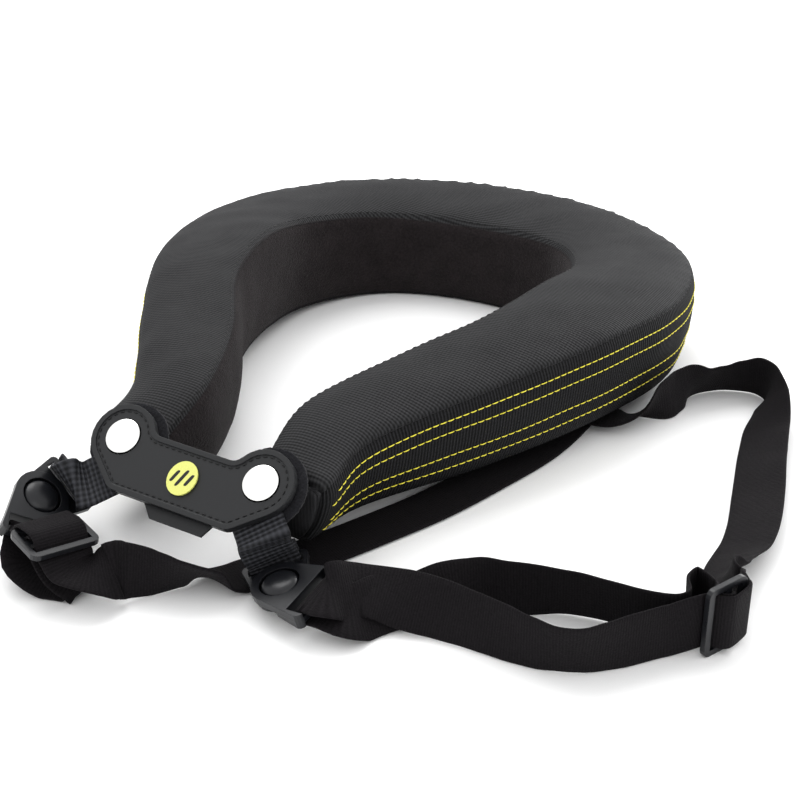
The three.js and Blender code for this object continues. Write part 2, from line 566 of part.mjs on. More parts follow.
function addBridge() {
  const half = BRIDGE_THICK / 2;
  const snapHole = SNAP_DIAMETER / 2 + HOLE_MARGIN;
  const holes = [-1, 1].map((side) => circlePoints((side * BRIDGE_SPAN) / 2, snapHole, 20));
  const plate = pierced(bridgeOutline(), holes, -half, half);
  const rim = pierced(bridgeOutline(), [bridgeOutline(BRIDGE_RIM)], half - 1, half + RIM_HEIGHT);
  addMesh("bridge", toGeometry(plate.add(rim)), RUBBER, bridgeFrame);

  const padTop = -half - 2 * CLEARANCE - WEBBING_THICK;
  for (const [name, side] of [["left", -1], ["right", 1]]) {
    const x = (side * BRIDGE_SPAN) / 2;
    const cap = new THREE.LatheGeometry(domeProfile(SNAP_DIAMETER / 2, padTop + CLEARANCE, SNAP_HEIGHT - 1, 1), 20);
    cap.rotateX(Math.PI / 2);
    addMesh(`snap_cap_${name}`, cap, NICKEL, bridgeFrame.clone().multiply(new THREE.Matrix4().makeTranslation(x, 0, 0)));
    const disc = circlePoints(x, HOOK_PAD_RADIUS, 24);
    addMesh(`hook_pad_${name}`, extruded(disc, padTop - HOOK_PAD_THICK, padTop), HOOK_LOOP, bridgeFrame);
  }

  const emblem = [];
  for (let step = 0; step < 24; step += 1) {
    const angle = (step / 24) * Math.PI * 2;
    emblem.push(new THREE.Vector2(1 + (Math.cos(angle) * EMBLEM_WIDTH) / 2, -8.5 + (Math.sin(angle) * EMBLEM_HEIGHT) / 2));
  }
  const emblemLow = half + CLEARANCE;
  addMesh("emblem", extruded(emblem, emblemLow, emblemLow + EMBLEM_THICK), PALE_YELLOW, bridgeFrame);

  const labelTop = BRIDGE_BOTTOM + 5;
  const labelBottom = BRIDGE_BOTTOM - LABEL_DROP;
  const labelMiddle = 4;
  const label = [
    new THREE.Vector2(labelMiddle - LABEL_WIDTH / 2, labelTop),
    new THREE.Vector2(labelMiddle - LABEL_WIDTH / 2, BRIDGE_BOTTOM),
    new THREE.Vector2(labelMiddle - LABEL_WIDTH / 2 + LABEL_DROP, labelBottom),
    new THREE.Vector2(labelMiddle + LABEL_WIDTH / 2 - LABEL_DROP / 2, labelBottom),
    new THREE.Vector2(labelMiddle + LABEL_WIDTH / 2, BRIDGE_BOTTOM),
    new THREE.Vector2(labelMiddle + LABEL_WIDTH / 2, labelTop),
  ];
  const labelHigh = -half - CLEARANCE;
  addMesh("label_tab", extruded(label, labelHigh - LABEL_THICK, labelHigh), RUBBER, bridgeFrame);
}

// Half section of a low dome on a straight skirt, closed on the axis: radius, foot, skirt top, rise
function domeProfile(radius, low, skirtTop, rise) {
  const profile = [new THREE.Vector2(0, low), new THREE.Vector2(radius, low)];
  for (let step = 0; step <= 4; step += 1) {
    const angle = (step / 4) * (Math.PI / 2);
    profile.push(new THREE.Vector2(radius * Math.cos(angle), skirtTop + rise * Math.sin(angle)));
  }
  profile[profile.length - 1].x = 0;
  return profile;
}

// Ribbons. A station is its middle point and the direction across it.
function rowStation(row) {
  return {
    point: new THREE.Vector3((row.x * COLLAR_WIDTH) / 2, row.y * COLLAR_DEPTH, row.z * STRAP_WIDTH),
    across: new THREE.Vector3(row.ax, row.ay, row.az).normalize(),
  };
}

// Stations round a bar: the bar's frame has its Y along the bar and Z out of the buckle's face,
// and the angles turn from X towards Z
function aroundBar(frame, x, radius, fromDegrees, toDegrees, steps) {
  const stations = [];
  for (let step = 0; step <= steps; step += 1) {
    const angle = THREE.MathUtils.degToRad(fromDegrees + ((toDegrees - fromDegrees) * step) / steps);
    stations.push(frameStation(frame, x + radius * Math.cos(angle), radius * Math.sin(angle)));
  }
  return stations;
}

function frameStation(frame, x, z, y = 0) {
  return {
    point: inFrame(frame, x, y, z),
    across: new THREE.Vector3(0, 1, 0).transformDirection(frame),
  };
}

// A ribbon of even width and thickness swept through its stations; every station is kept, long
// stretches between them are divided, and where an edge would dip under the floor it rests on it
function ribbonGeometry(stations, width, thickness, longest) {
  const curve = new THREE.CatmullRomCurve3(stations.map((station) => station.point), false, "centripetal");
  const places = [];
  for (let index = 0; index + 1 < stations.length; index += 1) {
    const gap = stations[index].point.distanceTo(stations[index + 1].point);
    const pieces = Math.max(1, Math.ceil(gap / longest));
    for (let piece = 0; piece < pieces; piece += 1) {
      places.push(index + piece / pieces);
    }
  }
  places.push(stations.length - 1);
  const count = stations.length - 1;
  const rings = places.map((place) => {
    const index = Math.min(Math.floor(place), count - 1);
    const share = place - index;
    const tangent = curve.getTangent(place / count);
    const eased = share * share * (3 - 2 * share);
    const across = stations[index].across.clone().lerp(stations[index + 1].across, eased)
      .projectOnPlane(tangent).normalize();
    const normal = tangent.clone().cross(across);
    const middle = curve.getPoint(place / count);
    const reach = (Math.abs(across.z) * width + Math.abs(normal.z) * thickness) / 2;
    middle.z = Math.max(middle.z, reach);
    return [[-1, -1], [1, -1], [1, 1], [-1, 1]].map(([side, face]) => middle.clone()
      .addScaledVector(across, (side * width) / 2).addScaledVector(normal, (face * thickness) / 2));
  });
  return loftRings(rings);
}

// Swivel buckle: a plate on the webbing and a round head with the strap's slot, on one rivet.
// Its frame has the rivet's middle as origin, X towards the strap and Z out of its face.
const plateTop = -0.35;
const slotEnd = SLOT_START + SLOT_WIDTH;
const buckleEnd = slotEnd + BAR_WIDTH;
const barCentre = slotEnd + BAR_WIDTH / 2;

function slottedOutline(radius, halfWidth) {
  const corner = 2.5;
  return [
    ...arcPoints({ x: 0, y: 0 }, radius, 90, 270, 12),
    ...arcPoints({ x: buckleEnd - corner, y: -halfWidth + corner }, corner, -90, 0, 3),
    ...arcPoints({ x: buckleEnd - corner, y: halfWidth - corner }, corner, 0, 90, 3),
  ];
}

function slotOutline(halfLength, fromX, toX) {
  return [
    new THREE.Vector2(fromX, -halfLength),
    new THREE.Vector2(toX, -halfLength),
    new THREE.Vector2(toX, halfLength),
    new THREE.Vector2(fromX, halfLength),
  ];
}

function buckleHeadGeometry() {
  const slotHalf = STRAP_WIDTH / 2 + 2 * CLEARANCE;
  const halfWidth = slotHalf + BUCKLE_RAIL;
  const outline = slottedOutline(HEAD_RADIUS, halfWidth);
  const skirtLow = plateTop - BUCKLE_PLATE;
  const hole = circlePoints(0, RIVET_RADIUS + 0.5, 18);
  const top = toSolid(extruded(outline, 0, BUCKLE_HEAD));
  const rivetHole = toSolid(extruded(hole, skirtLow - 1, BUCKLE_HEAD + 1));
  const skirtOutline = outline.map((point) => new THREE.Vector2(Math.max(point.x, 6), point.y));
  const skirt = toSolid(extruded(dropRepeats(skirtOutline), skirtLow, 1));
  const turning = toSolid(extruded(circlePoints(0, HEAD_RADIUS + 0.6, 24), skirtLow - 1, 0));
  const slot = toSolid(extruded(slotOutline(slotHalf, SLOT_START, slotEnd), skirtLow - 1, BUCKLE_HEAD + 1));
  const barRelief = slotOutline(slotHalf, slotEnd - 0.5, buckleEnd + 1);
  const above = toSolid(extruded(barRelief, BAR_THICK / 2, BUCKLE_HEAD + 1));
  const below = toSolid(extruded(barRelief, skirtLow - 1, -BAR_THICK / 2));
  const cuts = [rivetHole, slot, above, below];
  return toGeometry(cuts.reduce((solid, cut) => solid.subtract(cut), top.add(skirt.subtract(turning))));
}

function dropRepeats(points) {
  return points.filter((point, index) => point.distanceTo(points[(index + 1) % points.length]) > 0.01);
}

function bucklePlateGeometry() {
  const slotHalf = WEBBING_WIDTH / 2 + 2 * CLEARANCE;
  const outline = slottedOutline(HEAD_RADIUS - 1, slotHalf + BUCKLE_RAIL);
  const slot = slotOutline(slotHalf, SLOT_START + 1, slotEnd + 0.6);
  return toGeometry(pierced(outline, [slot], plateTop - BUCKLE_PLATE, plateTop));
}

function rivetGeometry() {
  const geometry = new THREE.LatheGeometry(domeProfile(RIVET_RADIUS, plateTop + CLEARANCE, 1.4, RIVET_RISE), 20);
  geometry.rotateX(Math.PI / 2);
  return geometry;
}

function addBuckle(side, frame) {
  const turn = new THREE.Matrix4().makeRotationZ(THREE.MathUtils.degToRad(SWIVEL_ANGLE));
  const plateFrame = frame.clone().multiply(turn);
  addMesh(`buckle_head_${side}`, buckleHeadGeometry(), ACETAL, frame);
  addMesh(`buckle_plate_${side}`, bucklePlateGeometry(), ACETAL, plateFrame);
  addMesh(`buckle_rivet_${side}`, rivetGeometry(), ACETAL, frame);
  return plateFrame;
}

// Three-bar slide; its frame has X along the strap, Y along the bars and Z out of its face
function triglideGeometry() {
  const windowHalf = STRAP_WIDTH / 2 + 2 * CLEARANCE;
  const halfWidth = windowHalf + TRIGLIDE_RAIL;
  const halfLength = TRIGLIDE_PITCH + TRIGLIDE_BAR / 2;
  const corner = 3;
  const outline = [
    ...arcPoints({ x: halfLength - corner, y: halfWidth - corner }, corner, 0, 90, 3),
    ...arcPoints({ x: corner - halfLength, y: halfWidth - corner }, corner, 90, 180, 3),
    ...arcPoints({ x: corner - halfLength, y: corner - halfWidth }, corner, 180, 270, 3),
    ...arcPoints({ x: halfLength - corner, y: corner - halfWidth }, corner, 270, 360, 3),
  ];
  const near = TRIGLIDE_BAR / 2;
  const far = TRIGLIDE_PITCH - near;
  const windows = [slotOutline(windowHalf, near, far), slotOutline(windowHalf, -far, -near)];
  return toGeometry(pierced(outline, windows, -TRIGLIDE_THICK / 2, TRIGLIDE_THICK / 2));
}

// Where the right strap's slide and its buckle stand among the rows of its table
const RIGHT_SLIDE_ROW = { x: 1.548, y: 0.0783, z: 0.626, ax: 0, ay: 0, az: 1 };
const RIGHT_BUCKLE_X = 0.3785;

// Radii of the strap's middle line round the slide's outer bars, its sewn end round the
// middle bar, and the layer that passes over that end
const slideBarReach = Math.hypot(TRIGLIDE_BAR, TRIGLIDE_THICK) / 2;
const turnGap = CLEARANCE + TURN_ROOM;
const slideTurn = slideBarReach + turnGap + STRAP_THICK / 2;
const slideOver = slideTurn + turnGap + STRAP_THICK;
const strapBarTurn = Math.hypot(BAR_WIDTH, BAR_THICK) / 2 + turnGap + STRAP_THICK / 2;
const webbingBarTurn = Math.hypot(BAR_WIDTH - 0.6, BUCKLE_PLATE) / 2 + turnGap + WEBBING_THICK / 2;

const rightBuckle = makeFrame(new THREE.Vector3(51.1, -21.5, 9.9), new THREE.Vector3(0.98, -0.16, 0.14),
  new THREE.Vector3(-0.17, -0.18, 0.97));
const leftBuckle = makeFrame(new THREE.Vector3(-58.9, -23.9, 22.2), new THREE.Vector3(0.43, -0.8, -0.41),
  new THREE.Vector3(0.64, -0.05, 0.77));
const rightSlide = makeFrame(
  rowStation(RIGHT_SLIDE_ROW).point, new THREE.Vector3(0.46, 0.89, 0), new THREE.Vector3(0.89, -0.46, 0));
const leftSlide = makeFrame(new THREE.Vector3(-35.2, -45, 22.5), new THREE.Vector3(0.9, -0.4, -0.12),
  new THREE.Vector3(0.16, 0.06, 0.98));

// Tangent angles of the strap where it crosses between neighbouring bars of a slide
const innerTangent = THREE.MathUtils.radToDeg(Math.acos((slideTurn + slideOver) / TRIGLIDE_PITCH));
const outerTangent = THREE.MathUtils.radToDeg(Math.asin((slideOver - slideTurn) / TRIGLIDE_PITCH));

// A row of the loop between the right buckle and its slide, stretched between the two
function loopStation(row) {
  const station = rowStation(row);
  const share = (row.x - RIGHT_BUCKLE_X) / (RIGHT_SLIDE_ROW.x - RIGHT_BUCKLE_X);
  const ends = [rightBuckle, rightSlide].map((frame) => new THREE.Vector3().setFromMatrixPosition(frame).x);
  station.point.x = THREE.MathUtils.lerp(ends[0], ends[1], share);
  return station;
}

// The right strap starts sewn round the slide's middle bar, runs slack behind to the buckle,
// turns through its slot, comes back in front through the slide and goes on to the rear
function addRightStrap() {
  const stations = aroundBar(rightSlide, 0, slideTurn, 60, 220, 5);
  stations.push(...RIGHT_SLACK_ROWS.map(rowStation).reverse());
  stations.push(...RIGHT_BACK_ROWS.map(loopStation));
  stations.push(frameStation(rightBuckle, barCentre + 11, -strapBarTurn - 1.6, 1));
  stations.push(frameStation(rightBuckle, barCentre + 5, -strapBarTurn - 0.2));
  stations.push(...aroundBar(rightBuckle, barCentre, strapBarTurn, 270, 90, 6));
  stations.push(frameStation(rightBuckle, barCentre + 5, strapBarTurn + 1.3));
  stations.push(...RIGHT_FRONT_ROWS.map(loopStation));
  stations.push(...aroundBar(rightSlide, -TRIGLIDE_PITCH, slideTurn, -90, -innerTangent, 2));
  stations.push(...aroundBar(rightSlide, 0, slideOver, 180 - innerTangent, 90 - outerTangent, 3));
  stations.push(...aroundBar(rightSlide, TRIGLIDE_PITCH, slideTurn, 90 - outerTangent, 0, 3));
  stations.push(frameStation(rightSlide, TRIGLIDE_PITCH + slideTurn + 1.4, -3.4));
  stations.push(...RIGHT_REAR_ROWS.map(rowStation));
  addMesh("right_strap", ribbonGeometry(stations, STRAP_WIDTH, STRAP_THICK, 9), ELASTIC);
}

// The left strap comes from under the collar, over the slide, down through the buckle and
// back under the slide, where its slack end loops on the floor before it is sewn on
function addLeftStrap() {
  const stations = LEFT_STRAP_ROWS.map(rowStation);
  stations.push(...aroundBar(leftSlide, TRIGLIDE_PITCH, slideTurn, 270, 180 + innerTangent, 2));
  stations.push(...aroundBar(leftSlide, 0, slideOver, innerTangent, 90 + outerTangent, 3));
  stations.push(...aroundBar(leftSlide, -TRIGLIDE_PITCH, slideTurn, 90 + outerTangent, 165, 3));
  const intoSlot = frameStation(leftBuckle, barCentre - strapBarTurn, BUCKLE_HEAD);
  const twisting = frameStation(leftSlide, -TRIGLIDE_PITCH - slideTurn - 2, -2.4, 0.7);
  twisting.across.addScaledVector(intoSlot.across, 0.1).normalize();
  stations.push(twisting, intoSlot);
  stations.push(...aroundBar(leftBuckle, barCentre, strapBarTurn, 180, 270, 4));
  stations.push(frameStation(leftBuckle, barCentre + 5, -strapBarTurn - 0.4));
  stations.push(...LEFT_SLACK_ROWS.map(rowStation));
  stations.push(...aroundBar(leftSlide, 0, slideTurn, 235, 75, 5));
  addMesh("left_strap", ribbonGeometry(stations, STRAP_WIDTH, STRAP_THICK, 9), ELASTIC);
}

// A webbing tab is held between the bridge and its hook pad, drops through the buckle plate's
// slot, turns under the bar and comes up behind it to be sewn to itself
function addWebbing(side, plateFrame) {
  const exit = TAB_EXITS[side];
  const low = -BRIDGE_THICK / 2 - CLEARANCE - WEBBING_THICK / 2;
  const across = new THREE.Vector3(exit.toY, -exit.toX, 0).transformDirection(bridgeFrame);
  const underBridge = (back) => ({
    point: inFrame(bridgeFrame, exit.x * BRIDGE_SPAN - exit.toX * back, exit.y * BRIDGE_SPAN - exit.toY * back, low),
    across,
  });
  const bar = slotEnd + 0.6 + (BAR_WIDTH - 0.6) / 2;
  const barFrame = plateFrame.clone().multiply(
    new THREE.Matrix4().makeTranslation(0, 0, plateTop - BUCKLE_PLATE / 2));
  const layer = WEBBING_THICK + CLEARANCE;
  const stations = [
    underBridge(TAB_OVERLAP),
    underBridge(TAB_OVERLAP / 2),
    underBridge(0),
    underBridge(-TAB_OVERLAP / 2),
    underBridge(-TAB_OVERLAP),
    underBridge(-TAB_OVERLAP * 1.5),
    ...TAB_ROWS[side].map((row) => frameStation(
      barFrame, row.out * HEAD_RADIUS, row.up * HEAD_RADIUS, row.across * HEAD_RADIUS)),
    ...aroundBar(barFrame, bar, webbingBarTurn, 180, 420, 10),
    frameStation(barFrame, bar - webbingBarTurn + layer + 0.4, webbingBarTurn + 2),
    frameStation(barFrame, bar - webbingBarTurn + layer - 0.6, TAB_RETURN),
  ];
  addMesh(`webbing_tab_${side}`, ribbonGeometry(stations, WEBBING_WIDTH, WEBBING_THICK, 6), WEBBING);
}

addCollar();
addBridge();
const rightPlate = addBuckle("right", rightBuckle);
const leftPlate = addBuckle("left", leftBuckle);
addMesh("triglide_right", triglideGeometry(), ACETAL, rightSlide);
addMesh("triglide_left", triglideGeometry(), ACETAL, leftSlide);
addRightStrap();
addLeftStrap();
addWebbing("right", rightPlate);
addWebbing("left", leftPlate);

// The origin goes to the bottom centre of the whole
const bounds = new THREE.Box3().setFromObject(model);
const middle = bounds.getCenter(new THREE.Vector3());
const toOrigin = new THREE.Matrix4().makeTranslation(-middle.x, -middle.y, -bounds.min.z);
model.children.forEach((mesh) => mesh.applyMatrix4(toOrigin));

export default model;
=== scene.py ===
"""Motocross neck brace: a padded collar with stitched cloth panels, a rubber bridge on two
snaps and two elastic straps. Lengths are millimetres in the collar's own frame until
place() shifts them to the row frame and turns them into metres."""
import math
import bpy
import numpy as np
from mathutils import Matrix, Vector


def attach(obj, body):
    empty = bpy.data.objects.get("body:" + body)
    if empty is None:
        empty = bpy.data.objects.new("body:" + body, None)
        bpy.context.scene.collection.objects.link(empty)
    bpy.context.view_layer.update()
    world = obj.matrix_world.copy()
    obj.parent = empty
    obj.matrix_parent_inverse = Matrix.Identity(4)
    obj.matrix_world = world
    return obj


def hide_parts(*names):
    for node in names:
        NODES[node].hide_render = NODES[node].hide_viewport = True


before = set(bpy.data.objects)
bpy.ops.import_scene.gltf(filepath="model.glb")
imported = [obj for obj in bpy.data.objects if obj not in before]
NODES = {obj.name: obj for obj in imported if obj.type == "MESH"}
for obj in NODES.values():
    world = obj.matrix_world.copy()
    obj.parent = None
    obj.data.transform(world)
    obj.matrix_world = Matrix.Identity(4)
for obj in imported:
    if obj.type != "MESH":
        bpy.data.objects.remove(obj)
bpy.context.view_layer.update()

# Sizes that this script shares with the solids
COLLAR_WIDTH, COLLAR_DEPTH, COLLAR_HEIGHT, NECK_WIDTH = 270, 341, 60, 146
TOP_CROWN, WALL_BULGE, TIP_ROUND, CLEARANCE, PANEL_THICK = 5, 3, 5, 0.3, 2
BRIDGE_SPAN, BRIDGE_THICK, BRIDGE_TILT, LOBE_RADIUS = 66, 3, 50, 14
BRIDGE_RIM, SNAP_DIAMETER, SNAP_HEIGHT = 2.2, 15, 3
HOOK_PAD_RADIUS, HOOK_PAD_THICK = 17, 1.8
STRAP_WIDTH, STRAP_THICK, WEBBING_WIDTH, WEBBING_THICK = 23, 1.3, 21, 1.5
TAB_OVERLAP, TAB_RETURN = 4.5, 9
BUCKLE_PLATE, BUCKLE_HEAD, HEAD_RADIUS, RIVET_RADIUS, RIVET_RISE = 2.6, 3.2, 11.4, 7.6, 3.2
SLOT_START, SLOT_WIDTH, BAR_WIDTH, BAR_THICK, TURN_ROOM = 12.6, 4.4, 3.4, 2.4, 0.1
SWIVEL_ANGLE = 136
TRIGLIDE_PITCH, TRIGLIDE_BAR, TRIGLIDE_THICK = 8.6, 3, 2.2
BACK_PATCH_ROW = 1.8
PLATE_TOP = -0.35
# Sizes of the finish alone
TWIST_SPREAD = 2.5
SEAM_DEPTH, SEAM_WIDTH, SKIN_DEPTH = 0.9, 1.8, 0.25
WAVE_LENGTH, WAVE_HEIGHT, PLEAT_LENGTH = 34, 0.35, 9
STITCH_RINGS, STITCH_SIDES = 7, 6
PILE_LENGTH, PILE_HEIGHT, PILE_START = 1.7, 0.22, 14
# From the collar's own frame to the row frame
SHIFT = np.array([-40.239, -139.823, 0.2])

# innerX, innerY, innerZ, outerX, outerY, outerZ, footZ, inset
COLLAR_ROWS = np.array([
    (0.0, 0.824, 0.75, 0.0, 1.0, 0.82, 0.0, 0.085),
    (0.66, 0.792, 0.78, 0.49, 0.959, 0.82, 0.0, 0.085),
    (1.0, 0.686, 0.87, 0.88, 0.836, 0.8, 0.045, 0.085),
    (1.0, 0.551, 1.0, 1.0, 0.651, 0.83, 0.135, 0.085),
    (0.85, 0.413, 0.98, 0.89, 0.457, 0.88, 0.18, 0.085),
    (0.53, 0.287, 0.88, 0.67, 0.287, 0.82, 0.15, 0.09),
    (0.3, 0.147, 0.82, 0.44, 0.129, 0.72, 0.15, 0.12),
    (0.3, 0.047, 0.65, 0.42, 0.035, 0.64, 0.15, 0.2),
])
# along, rise
TOP_PROFILE = np.array([
    (0, 0),
    (0.1, 0.55),
    (0.32, 0.95),
    (0.6, 1),
    (0.84, 0.7),
    (0.96, 0.3),
    (1, 0),
])
# along, rise
WALL_PROFILE = np.array([
    (0, 0),
    (0.22, 0.75),
    (0.55, 1),
    (0.85, 0.55),
    (1, 0),
])
# x, y, z, ax, ay, az
LEFT_STRAP_ROWS = np.array([
    (0.72, 0.72, 0.055, 1, 0.05, 0),
    (0.735, 0.62, 0.05, 1, 0.03, 0),
    (0.73, 0.53, 0.045, 1, -0.05, 0),
    (0.7, 0.41, 0.045, 0.97, -0.22, 0),
    (0.61, 0.293, 0.045, 0.95, -0.3, 0),
    (0.53, 0.208, 0.045, 0.93, -0.37, 0),
    (0.44, 0.135, 0.045, 0.87, -0.5, 0),
    (0.32, 0.047, 0.045, 0.75, -0.66, 0),
    (0.205, -0.025, 0.045, 0.8, -0.6, 0),
    (0.18, -0.0405, 0.055, 0.76, -0.64, 0.05),
    (0.162, -0.0545, 0.14, 0.6, -0.74, 0.28),
    (0.145, -0.0665, 0.29, 0.48, -0.64, 0.58),
    (0.131, -0.076, 0.38, 0.43, -0.58, 0.69),
    (0.091, -0.089, 0.434, 0.34, -0.42, 0.84),
    (0.046, -0.099, 0.477, 0.19, -0.23, 0.95),
    (0.006, -0.106, 0.5, 0.06, -0.01, 1),
    (-0.023, -0.112, 0.52, -0.01, 0.1, 1),
    (-0.049, -0.118, 0.54, -0.05, 0.24, 0.97),
    (-0.076, -0.119, 0.52, -0.25, 0.52, 0.82),
    (-0.091, -0.1272, 0.518, -0.39, 0.77, 0.51),
    (-0.116, -0.1378, 0.547, -0.42, 0.9, 0.12),
    (-0.146, -0.1447, 0.587, -0.12, 0.99, -0.04),
    (-0.18, -0.1464, 0.63, 0.25, 0.96, -0.1),
])
# x, y, z, ax, ay, az
RIGHT_BACK_ROWS = np.array([
    (1.43, 0.064, 0.5, 0, -0.1, 1),
    (1.33, 0.06, 0.5, 0, -0.2, 0.98),
    (1.235, 0.063, 0.5, 0.02, -0.26, 0.97),
    (1.125, 0.06, 0.5, 0.02, -0.2, 0.98),
    (0.97, 0.04, 0.48, 0, 0.1, 0.99),
    (0.82, 0.023, 0.38, -0.2, 0.62, 0.7),
    (0.7, -0.012, 0.22, -0.15, 0.9, 0.38),
])
# x, y, z, ax, ay, az
RIGHT_FRONT_ROWS = np.array([
    (0.6, -0.042, 0.58, -0.18, 0.92, 0.36),
    (0.665, -0.032, 0.52, -0.25, 0.82, 0.5),
    (0.73, -0.03, 0.5, -0.25, 0.66, 0.7),
    (0.83, -0.03, 0.5, -0.18, 0.42, 0.88),
    (0.93, -0.034, 0.5, -0.13, 0.25, 0.96),
    (1.02, -0.039, 0.5, -0.1, 0.15, 0.98),
    (1.11, -0.044, 0.5, -0.04, -0.04, 1),
    (1.19, -0.043, 0.5, 0, -0.22, 0.97),
    (1.245, -0.035, 0.5, 0, -0.25, 0.97),
    (1.29, -0.02, 0.5, -0.03, -0.18, 0.98),
    (1.35, 0.005, 0.5, -0.05, -0.06, 1),
    (1.43, 0.04, 0.5, -0.05, -0.03, 1),
])
# x, y, z, ax, ay, az
RIGHT_SLACK_ROWS = np.array([
    (1.45, 0.078, 0.5, 0, -0.15, 0.98),
    (1.43, 0.105, 0.5, 0, -0.2, 0.97),
    (1.44, 0.124, 0.5, 0, -0.2, 0.97),
    (1.475, 0.119, 0.5, -0.03, -0.15, 0.98),
    (1.51, 0.1, 0.5, -0.03, -0.05, 1),
])
# x, y, z, ax, ay, az
RIGHT_REAR_ROWS = np.array([
    (1.555, 0.132, 0.47, 0.25, -0.22, 0.94),
    (1.494, 0.164, 0.36, 0.56, -0.5, 0.67),
    (1.483, 0.196, 0.31, 0.7, -0.44, 0.57),
    (1.481, 0.225, 0.265, 0.76, -0.44, 0.48),
    (1.494, 0.272, 0.205, 0.89, -0.29, 0.35),
    (1.488, 0.32, 0.18, 0.9, -0.32, 0.31),
    (1.455, 0.4, 0.15, 0.94, -0.2, 0.26),
    (1.415, 0.482, 0.16, 0.9, -0.3, 0.31),
    (1.385, 0.553, 0.17, 0.81, -0.5, 0.32),
    (1.355, 0.63, 0.22, 0.6, -0.65, 0.45),
    (1.33, 0.672, 0.42, 0.3, -0.4, 0.87),
    (1.28, 0.688, 0.48, 0.13, -0.23, 0.97),
    (1.22, 0.684, 0.45, 0.1, -0.4, 0.91),
    (1.15, 0.668, 0.38, 0.08, -0.62, 0.78),
    (1.09, 0.64, 0.34, 0.05, -0.75, 0.66),
    (1.055, 0.6, 0.34, -0.25, -0.68, 0.69),
    (1.02, 0.56, 0.34, -0.3, -0.66, 0.69),
    (0.95, 0.53, 0.22, -0.15, -0.93, 0.3),
    (0.86, 0.518, 0.17, -0.05, -1, 0.05),
    (0.76, 0.52, 0.19, 0, -1, 0),
    (0.66, 0.525, 0.24, 0, -1, 0),
])
# x, y, z, ax, ay, az
LEFT_SLACK_ROWS = np.array([
    (-0.363, -0.136, 0.33, 0.68, 0.6, -0.42),
    (-0.325, -0.137, 0.22, 0.55, 0.8, -0.2),
    (-0.272, -0.131, 0.1, 0.44, 0.9, -0.03),
    (-0.215, -0.126, 0.033, 0.4, 0.9, 0),
    (-0.181, -0.126, 0.07, 0.4, 0.9, 0),
    (-0.167, -0.1272, 0.157, 0.4, 0.9, 0),
    (-0.182, -0.1295, 0.252, 0.4, 0.9, 0),
    (-0.226, -0.135, 0.46, 0.39, 0.9, -0.08),
])


# Small geometry
def unit(vectors):
    """Vectors scaled to length one along their last axis."""
    vectors = np.asarray(vectors, float)
    return vectors / np.maximum(np.linalg.norm(vectors, axis=-1, keepdims=True), 1e-9)


def curve(points, places, centripetal=False):
    """Catmull-Rom curve through the points, at places counted in points from 0: a cubic
    between neighbours whose end slopes come from the points before and after."""
    points = np.asarray(points, float)
    padded = np.vstack([2 * points[0] - points[1], points, 2 * points[-1] - points[-2]])
    index = np.clip(np.floor(places).astype(int), 0, len(points) - 2)
    share = (places - index)[:, None]
    p0, p1, p2, p3 = (padded[index + k] for k in range(4))
    if centripetal:
        d0, d1, d2 = (np.maximum(np.linalg.norm(b - a, axis=1) ** 0.5, 1e-4)[:, None]
                      for a, b in ((p0, p1), (p1, p2), (p2, p3)))
        m1 = ((p1 - p0) / d0 - (p2 - p0) / (d0 + d1) + (p2 - p1) / d1) * d1
        m2 = ((p2 - p1) / d1 - (p3 - p1) / (d1 + d2) + (p3 - p2) / d2) * d1
    else:
        m1, m2 = (p2 - p0) / 2, (p3 - p1) / 2
    square, cube = share ** 2, share ** 3
    return ((2 * cube - 3 * square + 1) * p1 + (cube - 2 * square + share) * m1
            + (3 * square - 2 * cube) * p2 + (cube - square) * m2)


def slope(points, places, centripetal=False):
    """Unit direction of that curve at the places."""
    low, high = np.clip(places - 1e-3, 0, None), np.clip(places + 1e-3, None, len(points) - 1)
    return unit(curve(points, high, centripetal) - curve(points, low, centripetal))


def waves(points, length, height, seed):
    """Smooth uneven surface: the sum of seven sine waves of about one length in seeded
    directions, scaled to a height."""
    draw = np.random.default_rng(seed)
    ways = unit(draw.normal(size=(7, 3))) * draw.uniform(0.7, 1.5, (7, 1)) * 2 * math.pi / length
    return height * np.sin(points @ ways.T + draw.uniform(0, 6.28, 7)).sum(-1) / 3.5


def place(points):
    """Millimetres in the collar's frame to metres in the row frame."""
    return (np.asarray(points, float) + SHIFT) / 1000


def add_mesh(name, points, faces, material, flat=None, smooth=True):
    """A piece from points in millimetres and faces; flat holds each point's place on the
    cloth, in millimetres, which its material's pattern follows."""
    mesh = bpy.data.meshes.new(name)
    mesh.from_pydata(place(points).tolist(), [], [list(map(int, face)) for face in faces])
    if flat is not None:
        layer = mesh.attributes.new("flat", "FLOAT_VECTOR", "POINT")
        layer.data.foreach_set("vector", np.asarray(flat, np.float32).ravel())
    mesh.shade_smooth() if smooth else mesh.shade_flat()
    mesh.materials.append(material)
    mesh.validate()
    made = bpy.data.objects.new(name, mesh)
    bpy.context.collection.objects.link(made)
    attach(made, "root")
    return made


def tube_faces(rings, size):
    """Quads between neighbouring rings of one size, and a face over each end."""
    ring, side = np.meshgrid(np.arange(rings - 1), np.arange(size), indexing="ij")
    ring, side = ring.ravel(), side.ravel()
    after = (side + 1) % size
    quads = np.stack([ring * size + side, ring * size + after,
                      (ring + 1) * size + after, (ring + 1) * size + side], -1).tolist()
    last = (rings - 1) * size
    return quads + [list(range(size))[::-1], list(range(last, last + size))]


def face_out(points, faces):
    """The faces, turned round if they enclose a negative volume."""
    corners = np.array([[f[0], f[k], f[k + 1]] for f in faces for k in range(1, len(f) - 1)])
    a, b, c = (np.asarray(points)[corners[:, k]] for k in range(3))
    return faces if (a * np.cross(b, c)).sum() > 0 else [face[::-1] for face in faces]


